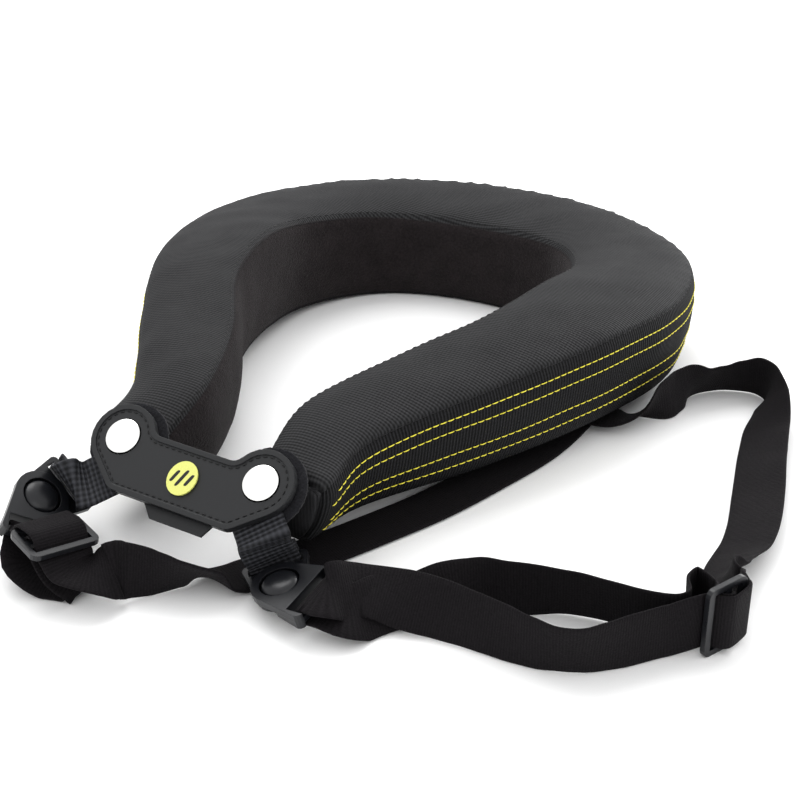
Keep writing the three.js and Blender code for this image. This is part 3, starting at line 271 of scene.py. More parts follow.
def add_loft(name, rings, material, flat=None, smooth=True):
    """A closed piece from rings of points, shaped (rings, points, 3)."""
    count, size = rings.shape[:2]
    points = rings.reshape(-1, 3)
    flat = None if flat is None else flat.reshape(-1, 3)
    faces = face_out(points, tube_faces(count, size))
    return add_mesh(name, points, faces, material, flat, smooth)


# Materials
MATH, NOISE, SPLIT = "ShaderNodeMath", "ShaderNodeTexNoise", "ShaderNodeSeparateXYZ"
NOISE_ROUGHNESS = 0.6
ROUGHNESS_SPREAD = 0.16


def linear(colour):
    """An sRGB hex colour as linear red, green, blue and alpha."""
    parts = [((colour >> shift) & 255) / 255 for shift in (16, 8, 0)]
    return [p / 12.92 if p <= 0.04045 else ((p + 0.055) / 1.055) ** 2.4 for p in parts] + [1]


def add_node(tree, kind, inputs=None, output=0, **settings):
    """A shader node with its settings; inputs are values or the sockets to link from. It
    gives back the output that is asked for."""
    made = tree.nodes.new(kind)
    for key, value in settings.items():
        setattr(made, key, value)
    for key, value in (inputs or {}).items():
        if isinstance(value, bpy.types.NodeSocket):
            tree.links.new(value, made.inputs[key])
        else:
            made.inputs[key].default_value = value
    return made.outputs[output]


def ridges(tree, where, way, pitch):
    """Even round ridges along one way of a coordinate: a half plus half the sine of an angle
    that turns once in each pitch, so 0 in the valleys and 1 on the crests."""
    across = add_node(tree, SPLIT, {0: where}, way)
    angle = add_node(tree, MATH, {0: across, 1: 2 * math.pi / pitch}, operation="MULTIPLY")
    swing = add_node(tree, MATH, {0: angle}, operation="SINE")
    return add_node(tree, MATH, {0: swing, 1: 0.5, 2: 0.5}, operation="MULTIPLY_ADD")


def woven_from(tree, *fields):
    """The sum of a cloth's fields, each times its weight."""
    total = 0.0
    for field, weight in fields:
        total = add_node(tree, MATH, {0: field, 1: weight, 2: total}, operation="MULTIPLY_ADD")
    return total


def new_material(name, low, high, pattern, roughness, bump, metallic=0.0, sheen=0.0, bevel=0.0,
                 specular=0.5):
    """A surface whose pattern (a function of the tree, its flat coordinates in mm and its
    object coordinates in mm) mixes two colours and sets the bump, while broad noise varies
    the roughness."""
    material = bpy.data.materials.new(name)
    material.use_nodes = True
    material.diffuse_color = linear(high)
    tree = material.node_tree
    shader = tree.nodes["Principled BSDF"]
    cloth = add_node(tree, "ShaderNodeAttribute", None, "Vector", attribute_name="flat")
    metres = add_node(tree, "ShaderNodeTexCoord", None, "Object")
    space = add_node(tree, "ShaderNodeVectorMath", {0: metres, 1: (1000, 1000, 1000)},
                     operation="MULTIPLY")
    height = pattern(tree, cloth, space)
    colours = {"Factor": height, "A": linear(low), "B": linear(high)}
    colour = add_node(tree, "ShaderNodeMix", colours, "Result", data_type="RGBA")
    uneven = add_node(tree, NOISE, {"Vector": space, "Scale": 0.05, "Detail": 2.0,
                                    "Roughness": NOISE_ROUGHNESS}, "Fac")
    rough = add_node(tree, MATH, {0: uneven, 1: ROUGHNESS_SPREAD,
                                  2: roughness - ROUGHNESS_SPREAD / 2}, operation="MULTIPLY_ADD")
    relief = {"Height": height, "Distance": bump / 1000, "Strength": 1.0}
    if bevel:
        relief["Normal"] = add_node(tree, "ShaderNodeBevel", {"Radius": bevel / 1000})
    normal = add_node(tree, "ShaderNodeBump", relief)
    for socket, key in ((colour, "Base Color"), (rough, "Roughness"), (normal, "Normal")):
        tree.links.new(socket, shader.inputs[key])
    shader.inputs["Metallic"].default_value = metallic
    shader.inputs["Specular IOR Level"].default_value = specular
    shader.inputs["Sheen Weight"].default_value = sheen
    shader.inputs["Sheen Roughness"].default_value = 0.5
    return material


def grid_rib(tree, cloth, space):
    """Straight-cut ribbed cloth: ribs across the collar's length crossed by fainter ones. The
    real ribs are about 1 mm apart, and are drawn half as coarse again so that they show."""
    yarn = add_node(tree, NOISE, {"Vector": space, "Scale": 0.6, "Detail": 3.0,
                                  "Roughness": NOISE_ROUGHNESS}, "Fac")
    return woven_from(tree, (ridges(tree, space, "Y", 1.5), 0.5),
                      (ridges(tree, space, "X", 1.5), 0.2), (yarn, 0.25))


def side_rib(tree, cloth, space):
    """Ribs up and down the wall, crossed by fainter ones along it and broken up by the yarn.
    The real ribs are about 1 mm apart, and are drawn coarser so that they show."""
    yarn = add_node(tree, NOISE, {"Vector": space, "Scale": 0.7, "Detail": 3.0,
                                  "Roughness": NOISE_ROUGHNESS}, "Fac")
    return woven_from(tree, (ridges(tree, cloth, "X", 1.6), 0.1),
                      (ridges(tree, cloth, "Y", 1.6), 0.7), (yarn, 0.2))


def nap(tree, cloth, space):
    """Short matted fibres: two sizes of noise."""
    fine = add_node(tree, NOISE, {"Vector": space, "Scale": 0.9, "Detail": 6.0,
                                  "Roughness": NOISE_ROUGHNESS}, "Fac")
    broad = add_node(tree, NOISE, {"Vector": space, "Scale": 0.1, "Detail": 3.0,
                                   "Roughness": NOISE_ROUGHNESS}, "Fac")
    return woven_from(tree, (fine, 0.65), (broad, 0.35))


def narrow_weave(tree, cloth, space):
    """A narrow fabric of thick yarns: ridges across the strap and fainter ones along it."""
    yarn = add_node(tree, NOISE, {"Vector": space, "Scale": 0.8, "Detail": 3.0,
                                  "Roughness": NOISE_ROUGHNESS}, "Fac")
    return woven_from(tree, (ridges(tree, cloth, "Y", 2.0), 0.5),
                      (ridges(tree, cloth, "X", 2.4), 0.3), (yarn, 0.2))


def knit(tree, cloth, space):
    """Covered rubber yarns: mostly an uneven fine pile, with faint ridges across the strap."""
    pile = add_node(tree, NOISE, {"Vector": space, "Scale": 1.3, "Detail": 5.0,
                                  "Roughness": NOISE_ROUGHNESS}, "Fac")
    return woven_from(tree, (pile, 0.8), (ridges(tree, cloth, "Y", 1.1), 0.2))


def grain(tree, cloth, space):
    """The faint even grain of a moulding."""
    return add_node(tree, NOISE, {"Vector": space, "Scale": 2.2, "Detail": 2.0,
                                  "Roughness": NOISE_ROUGHNESS}, "Fac")


# Woven polyester: charcoal cloth that breaks light into a fine grid
RIBBED_CLOTH = new_material("ribbed_cloth", 0x010101, 0x3e3e40, grid_rib, 0.7, 0.35, specular=0.22)
# Brushed polyester: a warm dark nap with a soft edge glow
FLEECE = new_material("fleece", 0x040304, 0x423d3e, nap, 0.95, 1.2, sheen=0.08, specular=0.04)
# Woven polyester: blacker cloth whose ribs stand upright on the wall
SIDE_CLOTH = new_material("side_cloth", 0x020202, 0x303032, side_rib, 0.75, 0.5, specular=0.2)
# Polyurethane foam: padding inside the cover, which doesn't show
FOAM = new_material("foam", 0x2c2c2e, 0x48484a, grain, 0.95, 0.2)
# Moulded rubber: satin, with its edges just rounded
RUBBER = new_material("rubber", 0x191a1c, 0x242527, grain, 0.42, 0.02, bevel=0.5)
# Nickel plate: bright caps that mirror the room
NICKEL = new_material("nickel", 0xefefed, 0xf4f4f2, grain, 0.17, 0.0, metallic=1.0)
# Moulded rubber in pale yellow: satin
PALE_YELLOW = new_material("pale_yellow", 0xc9cb6e, 0xdcde84, grain, 0.5, 0.02, bevel=0.2)
# Polyester thread: bright and twisted
YELLOW_THREAD = new_material("yellow_thread", 0xd8cc38, 0xfff45c, nap, 0.6, 0.1, sheen=0.1)
# Polyester thread: dull black
BLACK_THREAD = new_material("black_thread", 0x060607, 0x141416, nap, 0.6, 0.1)
# Nylon hook and loop: a tangled pile of tiny loops
HOOK_LOOP = new_material("hook_loop", 0x050506, 0x3c3c40, nap, 0.95, 0.9, sheen=0.08, specular=0.1)
# Nylon webbing: coarse, with yarns that stand out
WEBBING = new_material("webbing", 0x040405, 0x45464b, narrow_weave, 0.65, 0.8, specular=0.3)
# Knitted elastic: fine and matt
ELASTIC = new_material("elastic", 0x040304, 0x282528, knit, 0.8, 0.5, sheen=0.02, specular=0.15)
# Moulded acetal: satin plastic with a dull highlight
ACETAL = new_material("acetal", 0x141518, 0x202125, grain, 0.31, 0.02, bevel=0.45)


# The collar
guide_rows = {
    "inner": COLLAR_ROWS[:, [0, 1, 2]] * [NECK_WIDTH / 2, COLLAR_DEPTH, COLLAR_HEIGHT],
    "outer": COLLAR_ROWS[:, [3, 4, 5]] * [COLLAR_WIDTH / 2, COLLAR_DEPTH, COLLAR_HEIGHT],
    "foot": COLLAR_ROWS[:, [3, 7, 6]] * [0, COLLAR_HEIGHT, COLLAR_HEIGHT],
}
GUIDES = {name: np.vstack([rows[:0:-1] * [-1, 1, 1], rows]) for name, rows in guide_rows.items()}
GUIDE_COUNT = 2 * len(COLLAR_ROWS) - 2
BACK_START = 0.5 - BACK_PATCH_ROW / GUIDE_COUNT


def padded_face(start, end, profile, rise):
    """Points of one face in the section's plane: along its chord, standing out by the
    profile's rise."""
    chord = end - start
    normal = unit(np.stack([-chord[:, 1], chord[:, 0]], -1))
    along, out = profile[:, 0][None, :, None], profile[:, 1][None, :, None]
    return start[:, None] + chord[:, None] * along + normal[:, None] * out * rise


def finer(profile, count):
    """A profile table drawn through as a smooth curve with this many points."""
    places = np.linspace(0, len(profile) - 1, count)
    drawn = curve(np.column_stack([profile, np.zeros(len(profile))]), places)[:, :2]
    return np.column_stack([drawn[:, 0], np.maximum(drawn[:, 1], 0)])


LINE = np.array([(0, 0), (1, 0)])
FACE_COLUMNS = 12
ROUNDING = np.radians([18, 35, 50, 65])


def collar_faces(places, beyond, shrink, columns=None):
    """The neck, top, side and base faces of the collar's sections as points in space, with
    the middle of each section. Beyond an end the section moves on and shrinks."""
    index = places * GUIDE_COUNT
    inner, outer, foot = (curve(GUIDES[name], index) for name in ("inner", "outer", "foot"))
    way = unit(slope(GUIDES["inner"], index) + slope(GUIDES["outer"], index))
    shift = way * np.where(places > 0.5, beyond, -beyond)[:, None]
    span = outer[:, :2] - inner[:, :2]
    width = np.linalg.norm(span, axis=1)
    out_way = unit(span)
    low = np.maximum(foot[:, 2], 0)
    foot_in = np.column_stack([foot[:, 1] * 0.3, low])
    top_in = np.column_stack([np.zeros_like(width), inner[:, 2]])
    top_out = np.column_stack([width, outer[:, 2]])
    foot_out = np.column_stack([width - foot[:, 1], low])
    spans = {
        "neck": (foot_in, top_in, WALL_PROFILE, WALL_BULGE),
        "top": (top_in, top_out, TOP_PROFILE, TOP_CROWN),
        "side": (top_out, foot_out, WALL_PROFILE, WALL_BULGE),
        "base": (foot_out, foot_in, LINE, 0),
    }
    coarse = [padded_face(*spans[name])[:, :-1] for name in ("neck", "top")]
    core = np.concatenate([*coarse, padded_face(*spans["side"])], 1).mean(1)
    pull = (2 * shrink / (inner[:, 2] - foot[:, 2]))[:, None, None]
    found = {}
    for name, (start, end, profile, rise) in spans.items():
        count = (columns or {}).get(name, FACE_COLUMNS)
        straight = np.column_stack([np.linspace(0, 1, count), np.zeros(count)])
        drawn = finer(profile, count) if len(profile) > 2 else straight
        flat = padded_face(start, end, drawn, rise)
        flat = flat + (core[:, None] - flat) * pull
        found[name] = np.concatenate([
            inner[:, None, :2] + out_way[:, None] * flat[:, :, :1], flat[:, :, 1:]], -1) + shift[:, None]
    middle = np.column_stack([inner[:, :2] + out_way * core[:, :1], core[:, 1]]) + shift
    return found, middle


def stations(start, end, count):
    """Places along the collar, with rounding steps at a free tip that follow a quarter circle:
    its sine gives how far each lies beyond the tip, and one less its cosine how much it
    shrinks."""
    places, beyond, shrink = np.linspace(start, end, count), np.zeros(count), np.zeros(count)
    steps = (TIP_ROUND * np.sin(ROUNDING), TIP_ROUND * (1 - np.cos(ROUNDING)))
    if start == 0:
        places = np.concatenate([np.zeros(len(ROUNDING)), places])
        beyond, shrink = (np.concatenate([s[::-1], old]) for s, old in zip(steps, (beyond, shrink)))
    if end == 1:
        places = np.concatenate([places, np.ones(len(ROUNDING))])
        beyond, shrink = (np.concatenate([old, s]) for s, old in zip(steps, (beyond, shrink)))
    return places, beyond, shrink


def grid_normals(grid, middle):
    """Unit normals of a grid of points, pointing away from the section's middle."""
    normal = unit(np.cross(np.gradient(grid, axis=0), np.gradient(grid, axis=1)))
    away = ((grid - middle[:, None]) * normal).sum(-1).mean()
    return normal if away > 0 else -normal


def arc(grid, along):
    """Distance along one direction of a grid, from its first point, in millimetres."""
    step = np.linalg.norm(np.diff(grid, axis=along), axis=-1)
    shape = list(step.shape)
    shape[along] = 1
    return np.concatenate([np.zeros(shape), np.cumsum(step, axis=along)], axis=along)


PANELS = {}


def add_panel(name, face, start, end, rows, columns, material, gathers=0.0):
    """A cloth panel over one face of the collar: a skin that sinks at each seam by a bell curve
    of its distance, with faint waves, and where gathers is given small pleats along its outer
    edge at the back."""
    places, beyond, shrink = stations(start, end, rows)
    faces, middle = collar_faces(places, beyond, shrink, {face: columns})
    grid = faces[face]
    normal = grid_normals(grid, middle)
    across = arc(grid, 1)
    edge = np.minimum(across, across[:, -1:] - across)
    along = arc(grid, 0).mean(1, keepdims=True) + np.zeros_like(across)
    sink = SEAM_DEPTH * np.exp(-(edge / SEAM_WIDTH) ** 2) + SKIN_DEPTH
    lift = waves(grid, WAVE_LENGTH, WAVE_HEIGHT, 3) * np.clip(edge / 6, 0, 1)
    if gathers:
        outer_share = across / across[:, -1:]
        at_back = np.exp(-((places[:, None] - 0.5) / 0.13) ** 2)
        pleats = np.abs(np.sin(along * math.pi / PLEAT_LENGTH + waves(grid, 40, 1.2, 8)))
        lift = lift - gathers * pleats * at_back * np.clip((outer_share - 0.72) / 0.25, 0, 1) ** 2
    skin = grid + normal * (lift - sink)[..., None]
    # the panel ends a little before its corners, so neighbours don't touch
    for border, inward in ((0, 1), (-1, -2)):
        skin[:, border] += unit(skin[:, inward] - skin[:, border]) * CLEARANCE * 0.7
    back = skin - normal * (PANEL_THICK - SEAM_DEPTH)
    rings = np.concatenate([skin, back[:, ::-1]], 1)
    flat = np.stack([across, along, np.zeros_like(across)], -1)
    flat = np.concatenate([flat, flat[:, ::-1]], 1)
    made = add_loft(name.replace("_panel", "_cloth"), rings, material, flat)
    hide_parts(name)
    PANELS[name] = (skin, normal)


def panel_row(name, share, trim=(0.0, 0.0)):
    """A line on a panel's skin at a share of its width (a number or one for each station),
    with the surface's normals, trimmed at its ends by shares of its length."""
    skin, normal = PANELS[name]
    rows = np.arange(len(skin))
    share = np.broadcast_to(share, len(skin)) * (skin.shape[1] - 1)
    low = np.minimum(share.astype(int), skin.shape[1] - 2)
    part = (share - low)[:, None]
    points = skin[rows, low] * (1 - part) + skin[rows, low + 1] * part
    keep = slice(int(trim[0] * len(skin)), len(skin) - int(trim[1] * len(skin)))
    return points[keep], normal[rows, low][keep]


def add_stitches(name, lines, length, pitch, thick, material, proud=0.12):
    """Rows of thread: each stitch is a bowed capsule whose ends dive into the cloth, lower by
    the square of the way to its end. Lines are (points, normals) pairs; stitches lie every
    pitch along them."""
    bodies, faces = [], []
    steps = np.linspace(-1, 1, STITCH_RINGS)
    sides = np.arange(STITCH_SIDES) * 2 * math.pi / STITCH_SIDES
    for points, normals in lines:
        travelled = arc(points, 0)
        for mark in np.arange(pitch / 2, travelled[-1] - pitch / 2, pitch):
            reach = mark + steps * length / 2
            spine = np.column_stack([np.interp(reach, travelled, points[:, k]) for k in range(3)])
            up = unit([np.interp(mark, travelled, normals[:, k]) for k in range(3)])
            aside = unit(np.cross(up, unit(spine[-1] - spine[0])))
            radius = thick / 2 * np.sqrt(np.maximum(1 - steps ** 4, 0.05))
            spine = spine + up * (proud + thick * 0.25 - thick * 0.55 * steps[:, None] ** 2)
            ring = np.cos(sides)[None, :, None] * aside + np.sin(sides)[None, :, None] * up * 0.8
            first = len(bodies) * STITCH_RINGS * STITCH_SIDES
            bodies.append((spine[:, None] + ring * radius[:, None, None]).reshape(-1, 3))
            faces += [[corner + first for corner in stitch_face] for stitch_face in STITCH_FACES]
    add_mesh(name, np.concatenate(bodies), faces, material)


# A stitch's faces, turned outwards on a straight tube along X
STITCH_TUBE = [(along, math.cos(turn), math.sin(turn)) for along in range(STITCH_RINGS)
               for turn in np.arange(STITCH_SIDES) * 2 * math.pi / STITCH_SIDES]
STITCH_FACES = face_out(np.array(STITCH_TUBE), tube_faces(STITCH_RINGS, STITCH_SIDES))

# Where the side panels end and the back one starts, as shares of the collar's length
HALF_GAP = 0.0006
FRONT_END, BACK_FROM = BACK_START - HALF_GAP, BACK_START + HALF_GAP
add_panel("neck_panel", "neck", 0, 1, 320, 22, FLEECE)
add_panel("top_panel", "top", 0, 1, 420, 40, RIBBED_CLOTH, gathers=1.6)
add_panel("side_panel_left", "side", 0, FRONT_END, 150, 22, SIDE_CLOTH)
add_panel("side_panel_right", "side", 1 - FRONT_END, 1, 150, 22, SIDE_CLOTH)
add_panel("back_panel", "side", BACK_FROM, 1 - BACK_FROM, 110, 22, SIDE_CLOTH)
add_panel("base_panel", "base", 0, 1, 200, 12, SIDE_CLOTH)


def section_ring(faces):
    """One closed ring round each section, from its four faces."""
    return np.concatenate([faces[name][:, :-1] for name in ("neck", "top", "side", "base")], 1)


def add_foam():
    """The padding inside the cover: the collar's section drawn smaller round its middle."""
    faces, middle = collar_faces(*stations(0, 1, 120))
    ring = middle[:, None] + (section_ring(faces) - middle[:, None]) * 0.86
    made = add_loft("foam_core", ring, FOAM)
    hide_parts("foam_pad")


def add_tip(name, tip):
    """The cloth over one arm's end: a low dome over the section, whose rings shrink by the
    first table as they rise by the second, with its rim turned in."""
    reach = TIP_ROUND * math.sin(ROUNDING[-1]) + CLEARANCE
    scale = np.array([0.985, 1.0, 0.99, 0.96, 0.9, 0.8, 0.65, 0.45, 0.25, 0.04])
    rise = np.array([0.0, 0.4, 0.9, 1.2, 1.5, 1.7, 1.85, 1.95, 2.0, 2.0])
    rings = []
    for size, out in zip(scale, rise):
        faces, middle = collar_faces(np.array([float(tip)]), np.array([reach + out]),
                                     np.array([TIP_ROUND * 0.75]))
        rings.append(middle[:, None] + (section_ring(faces) - middle[:, None]) * size)
    rings = np.concatenate(rings)
    flat = rings[..., [0, 2, 1]]
    made = add_loft(name.replace("_panel", "_cloth"), rings, RIBBED_CLOTH, flat)
    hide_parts(name)


add_foam()
add_tip("tip_panel_left", 0)
add_tip("tip_panel_right", 1)

# Stitching on the collar: four yellow rows in two pairs on each side, a yellow border and a
# plain zigzag on the back, and a black row inside each edge of the top
SIDE_ROWS = (0.17, 0.31, 0.54, 0.68)
BORDER_ROWS = (0.12, 0.84)
EDGE_ROWS = (0.1, 0.955)
ZIGZAG_TURNS = 22
yellow_lines = []
for side, trim in (("left", (0.03, 0.0)), ("right", (0.0, 0.03))):
    yellow_lines += [panel_row("side_panel_" + side, share, trim) for share in SIDE_ROWS]
yellow_lines += [panel_row("back_panel", share, (0.02, 0.02)) for share in BORDER_ROWS]
back_rows = np.linspace(0, 1, len(PANELS["back_panel"][0]))
zigzag = np.abs((back_rows * ZIGZAG_TURNS) % 2 - 1)
yellow_lines.append(panel_row("back_panel", 0.32 + 0.34 * zigzag, (0.04, 0.04)))
add_stitches("yellow_stitching", yellow_lines, 3.5, 3.8, 0.6, YELLOW_THREAD)
black_lines = [panel_row("top_panel", share, (0.02, 0.02)) for share in EDGE_ROWS]
add_stitches("black_stitching", black_lines, 3.0, 4.2, 0.5, BLACK_THREAD, 0.0)


# Frames of the hard pieces
def make_frame(origin, x_way, z_way):
    """A frame with its origin, its X direction and its Z direction, made square."""
    z = unit(z_way)
    y = unit(np.cross(z, x_way))
    made = np.eye(4)
    made[:3, 0], made[:3, 1], made[:3, 2], made[:3, 3] = np.cross(y, z), y, z, origin
    return made


def in_frame(box, points):
    """Points given in a frame, in the collar's frame."""
    return np.asarray(points, float) @ box[:3, :3].T + box[:3, 3]


tilt = math.radians(BRIDGE_TILT)
BRIDGE = make_frame((1.1, -1.9, 43.3), (65.4, 0, -7.8), (0, -math.cos(tilt), math.sin(tilt)))
RIGHT_BUCKLE = make_frame((51.1, -21.5, 9.9), (0.98, -0.16, 0.14), (-0.17, -0.18, 0.97))
LEFT_BUCKLE = make_frame((-58.9, -23.9, 22.2), (0.43, -0.8, -0.41), (0.64, -0.05, 0.77))
RIGHT_SLIDE = make_frame((209, 26.7, 14.4), (0.46, 0.89, 0), (0.89, -0.46, 0))
LEFT_SLIDE = make_frame((-35.2, -45, 22.5), (0.9, -0.4, -0.12), (0.16, 0.06, 0.98))

slot_end = SLOT_START + SLOT_WIDTH
bar_centre = slot_end + BAR_WIDTH / 2
turn_gap = CLEARANCE + TURN_ROOM
slide_turn = math.hypot(TRIGLIDE_BAR, TRIGLIDE_THICK) / 2 + turn_gap + STRAP_THICK / 2
slide_over = slide_turn + turn_gap + STRAP_THICK
strap_turn = math.hypot(BAR_WIDTH, BAR_THICK) / 2 + turn_gap + STRAP_THICK / 2
webbing_turn = math.hypot(BAR_WIDTH - 0.6, BUCKLE_PLATE) / 2 + turn_gap + WEBBING_THICK / 2
inner_tangent = math.degrees(math.acos((slide_turn + slide_over) / TRIGLIDE_PITCH))
outer_tangent = math.degrees(math.asin((slide_over - slide_turn) / TRIGLIDE_PITCH))


# Ribbons: a station is its middle point and the direction across it, six numbers
def at(box, x, z, y=0.0):
    """A station in a frame, with the ribbon's width along the frame's Y."""
    return [*in_frame(box, (x, y, z)), *box[:3, 1]]


def around(box, x, radius, start, end, steps):
    """Stations round a bar along the frame's Y, turning from X towards Z."""
    angles = np.radians(np.linspace(start, end, steps + 1))
    return [at(box, x + radius * math.cos(a), radius * math.sin(a)) for a in angles]


def from_rows(rows):
    """Stations from a table of shares."""
    middle = rows[:, :3] * [COLLAR_WIDTH / 2, COLLAR_DEPTH, STRAP_WIDTH]
    return np.hstack([middle, unit(rows[:, 3:])]).tolist()


def ribbon_path(path, width, thickness, longest):
    """Middle points, directions across and normals of a ribbon, close together, with each
    edge that would dip under the floor resting on it."""
    path = np.array(path)
    middle, across = path[:, :3], path[:, 3:]
    gaps = np.linalg.norm(np.diff(middle, axis=0), axis=1)
    counts = np.maximum(1, np.ceil(gaps / longest)).astype(int)
    places = np.concatenate([k + np.arange(n) / n for k, n in enumerate(counts)] + [[len(path) - 1]])
    index = np.minimum(places.astype(int), len(path) - 2)
    share = (places - index)[:, None]
    eased = share ** 2 * (3 - 2 * share)
    way = slope(middle, places, True)
    side = across[index] * (1 - eased) + across[index + 1] * eased
    side = unit(side - way * (side * way).sum(-1, keepdims=True))
    # the twist is spread over a few millimetres, as stiff elastic spreads it
    points = curve(middle, places, True)
    travelled = arc(points, 0)
    weight = np.exp(-((travelled[:, None] - travelled) / TWIST_SPREAD) ** 2)
    side = weight @ side / weight.sum(1, keepdims=True)
    side = unit(side - way * (side * way).sum(-1, keepdims=True))
    normal = np.cross(way, side)
    reach = (np.abs(side[:, 2]) * width + np.abs(normal[:, 2]) * thickness) / 2
    points[:, 2] = np.maximum(points[:, 2], reach)
    return points, side, normal


def add_ribbon(name, path, width, thickness, longest, material, edge):
    """A strap swept along its path, with rounded selvedges a little thinner than its middle.
    It is a sheet as long as its path, laid on the floor and through its buckle."""
    points, side, normal = ribbon_path(path, width, thickness, longest)
    across = np.concatenate([[-1, -0.985], np.linspace(-0.95, 0.95, 13), [0.985, 1]])
    thin = np.concatenate([[0.0, 0.6, edge], np.ones(11), [edge, 0.6, 0.0]])
    face_ring, back_ring = np.stack([across, thin], -1), np.stack([across, -thin], -1)[-2:0:-1]
    ring = np.concatenate([face_ring, back_ring])
    rings = (points[:, None] + side[:, None] * ring[None, :, :1] * width / 2
             + normal[:, None] * ring[None, :, 1:] * thickness / 2)
    along = arc(points, 0)
    flat = [ring[None, :, 0] * width / 2, along[:, None], ring[None, :, 1]]
    flat = np.stack(np.broadcast_arrays(*flat), -1)
    made = add_loft(name + "_woven", rings, material, flat)
    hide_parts(name)


def right_path():
    """From the slide's middle bar slack behind to the buckle, back in front through the
    slide, and on to the rear of the collar."""
    path = around(RIGHT_SLIDE, 0, slide_turn, 60, 220, 5)
    path += from_rows(RIGHT_SLACK_ROWS)[::-1] + from_rows(RIGHT_BACK_ROWS)
    path += [at(RIGHT_BUCKLE, bar_centre + 11, -strap_turn - 1.6, 1)]
    path += [at(RIGHT_BUCKLE, bar_centre + 5, -strap_turn - 0.2)]
    path += around(RIGHT_BUCKLE, bar_centre, strap_turn, 270, 90, 6)
    path += [at(RIGHT_BUCKLE, bar_centre + 5, strap_turn + 1.3)] + from_rows(RIGHT_FRONT_ROWS)
    path += around(RIGHT_SLIDE, -TRIGLIDE_PITCH, slide_turn, -90, -inner_tangent, 2)
    path += around(RIGHT_SLIDE, 0, slide_over, 180 - inner_tangent, 90 - outer_tangent, 3)
    path += around(RIGHT_SLIDE, TRIGLIDE_PITCH, slide_turn, 90 - outer_tangent, 0, 3)
    path += [at(RIGHT_SLIDE, TRIGLIDE_PITCH + slide_turn + 1.4, -3.4)]
    return path + from_rows(RIGHT_REAR_ROWS)


def left_path():
    """From under the collar over the slide, down through the buckle and back under the
    slide to its middle bar."""
    path = from_rows(LEFT_STRAP_ROWS)
    path += around(LEFT_SLIDE, TRIGLIDE_PITCH, slide_turn, 270, 180 + inner_tangent, 2)
    path += around(LEFT_SLIDE, 0, slide_over, inner_tangent, 90 + outer_tangent, 3)
    path += around(LEFT_SLIDE, -TRIGLIDE_PITCH, slide_turn, 90 + outer_tangent, 165, 3)
    into = at(LEFT_BUCKLE, bar_centre - strap_turn, BUCKLE_HEAD)
    twist = at(LEFT_SLIDE, -TRIGLIDE_PITCH - slide_turn - 2, -2.4, 0.7)
    twist[3:] = unit(np.array(twist[3:]) + 0.1 * np.array(into[3:])).tolist()
    path += [twist, into] + around(LEFT_BUCKLE, bar_centre, strap_turn, 180, 270, 4)
    path += [at(LEFT_BUCKLE, bar_centre + 5, -strap_turn - 0.4)]
    return path + from_rows(LEFT_SLACK_ROWS) + around(LEFT_SLIDE, 0, slide_turn, 235, 75, 5)


TAB_EXITS = {"left": (-0.54, -0.265, -0.7, -0.7), "right": (0.576, -0.227, 0.7, -0.7)}
# out, across and up in shares of HEAD_RADIUS, in the plate's frame
TAB_ROWS = {
    "left": [(0.6, -0.46, 1.44), (0.68, -0.33, 1.08), (0.98, -0.16, 0.68), (1.31, -0.04, 0.3)],
    "right": [(1.12, 0.1, 1.16), (1.22, 0.08, 0.75), (1.36, 0.02, 0.36)],
}


def turned(box, degrees):
    """A frame turned about its own Z."""
    c, s = math.cos(math.radians(degrees)), math.sin(math.radians(degrees))
    turn = np.eye(4)
    turn[:2, :2] = [[c, -s], [s, c]]
    return box @ turn


def webbing_path(side, plate):
    """From under the bridge down through the plate's slot, round its bar and up behind."""
    x, y, to_x, to_y = TAB_EXITS[side]
    low = -BRIDGE_THICK / 2 - CLEARANCE - WEBBING_THICK / 2
    across = (BRIDGE[:3, :3] @ np.array([to_y, -to_x, 0])) / math.hypot(to_x, to_y)
    path = []
    for back in TAB_OVERLAP * np.array([1, 0.5, 0, -0.5, -1, -1.5]):
        middle = in_frame(BRIDGE, (x * BRIDGE_SPAN - to_x * back, y * BRIDGE_SPAN - to_y * back, low))
        path.append([*middle, *across])
    bar = slot_end + 0.6 + (BAR_WIDTH - 0.6) / 2
    box = plate.copy()
    box[:3, 3] = in_frame(plate, (0, 0, PLATE_TOP - BUCKLE_PLATE / 2))
    layer = WEBBING_THICK + CLEARANCE
    path += [at(box, *(HEAD_RADIUS * np.array([out, up, over]))) for out, over, up in TAB_ROWS[side]]
    path += around(box, bar, webbing_turn, 180, 420, 10)
    return path + [at(box, bar - webbing_turn + layer + 0.4, webbing_turn + 2),
                   at(box, bar - webbing_turn + layer - 0.6, TAB_RETURN)]


add_ribbon("right_strap", right_path(), STRAP_WIDTH, STRAP_THICK, 1.6, ELASTIC, 0.95)
add_ribbon("left_strap", left_path(), STRAP_WIDTH, STRAP_THICK, 1.6, ELASTIC, 0.95)
for side, buckle in (("right", RIGHT_BUCKLE), ("left", LEFT_BUCKLE)):
    add_ribbon("webbing_tab_" + side, webbing_path(side, turned(buckle, SWIVEL_ANGLE)),
               WEBBING_WIDTH, WEBBING_THICK, 0.8, WEBBING, 0.9)


# Hard pieces
def add_lathe(name, box, x, profile, material, sides=72):
    """A round piece turned about the frame's Z at x, from a half profile of radius and height."""
    angle = np.arange(sides) * 2 * math.pi / sides
    profile = np.array(profile)
    ring = np.stack([x + profile[:, :1] * np.cos(angle), profile[:, :1] * np.sin(angle),
                     profile[:, 1:] + 0 * angle], -1)
    made = add_loft(name + "_turned", in_frame(box, ring), material)
    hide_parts(name)


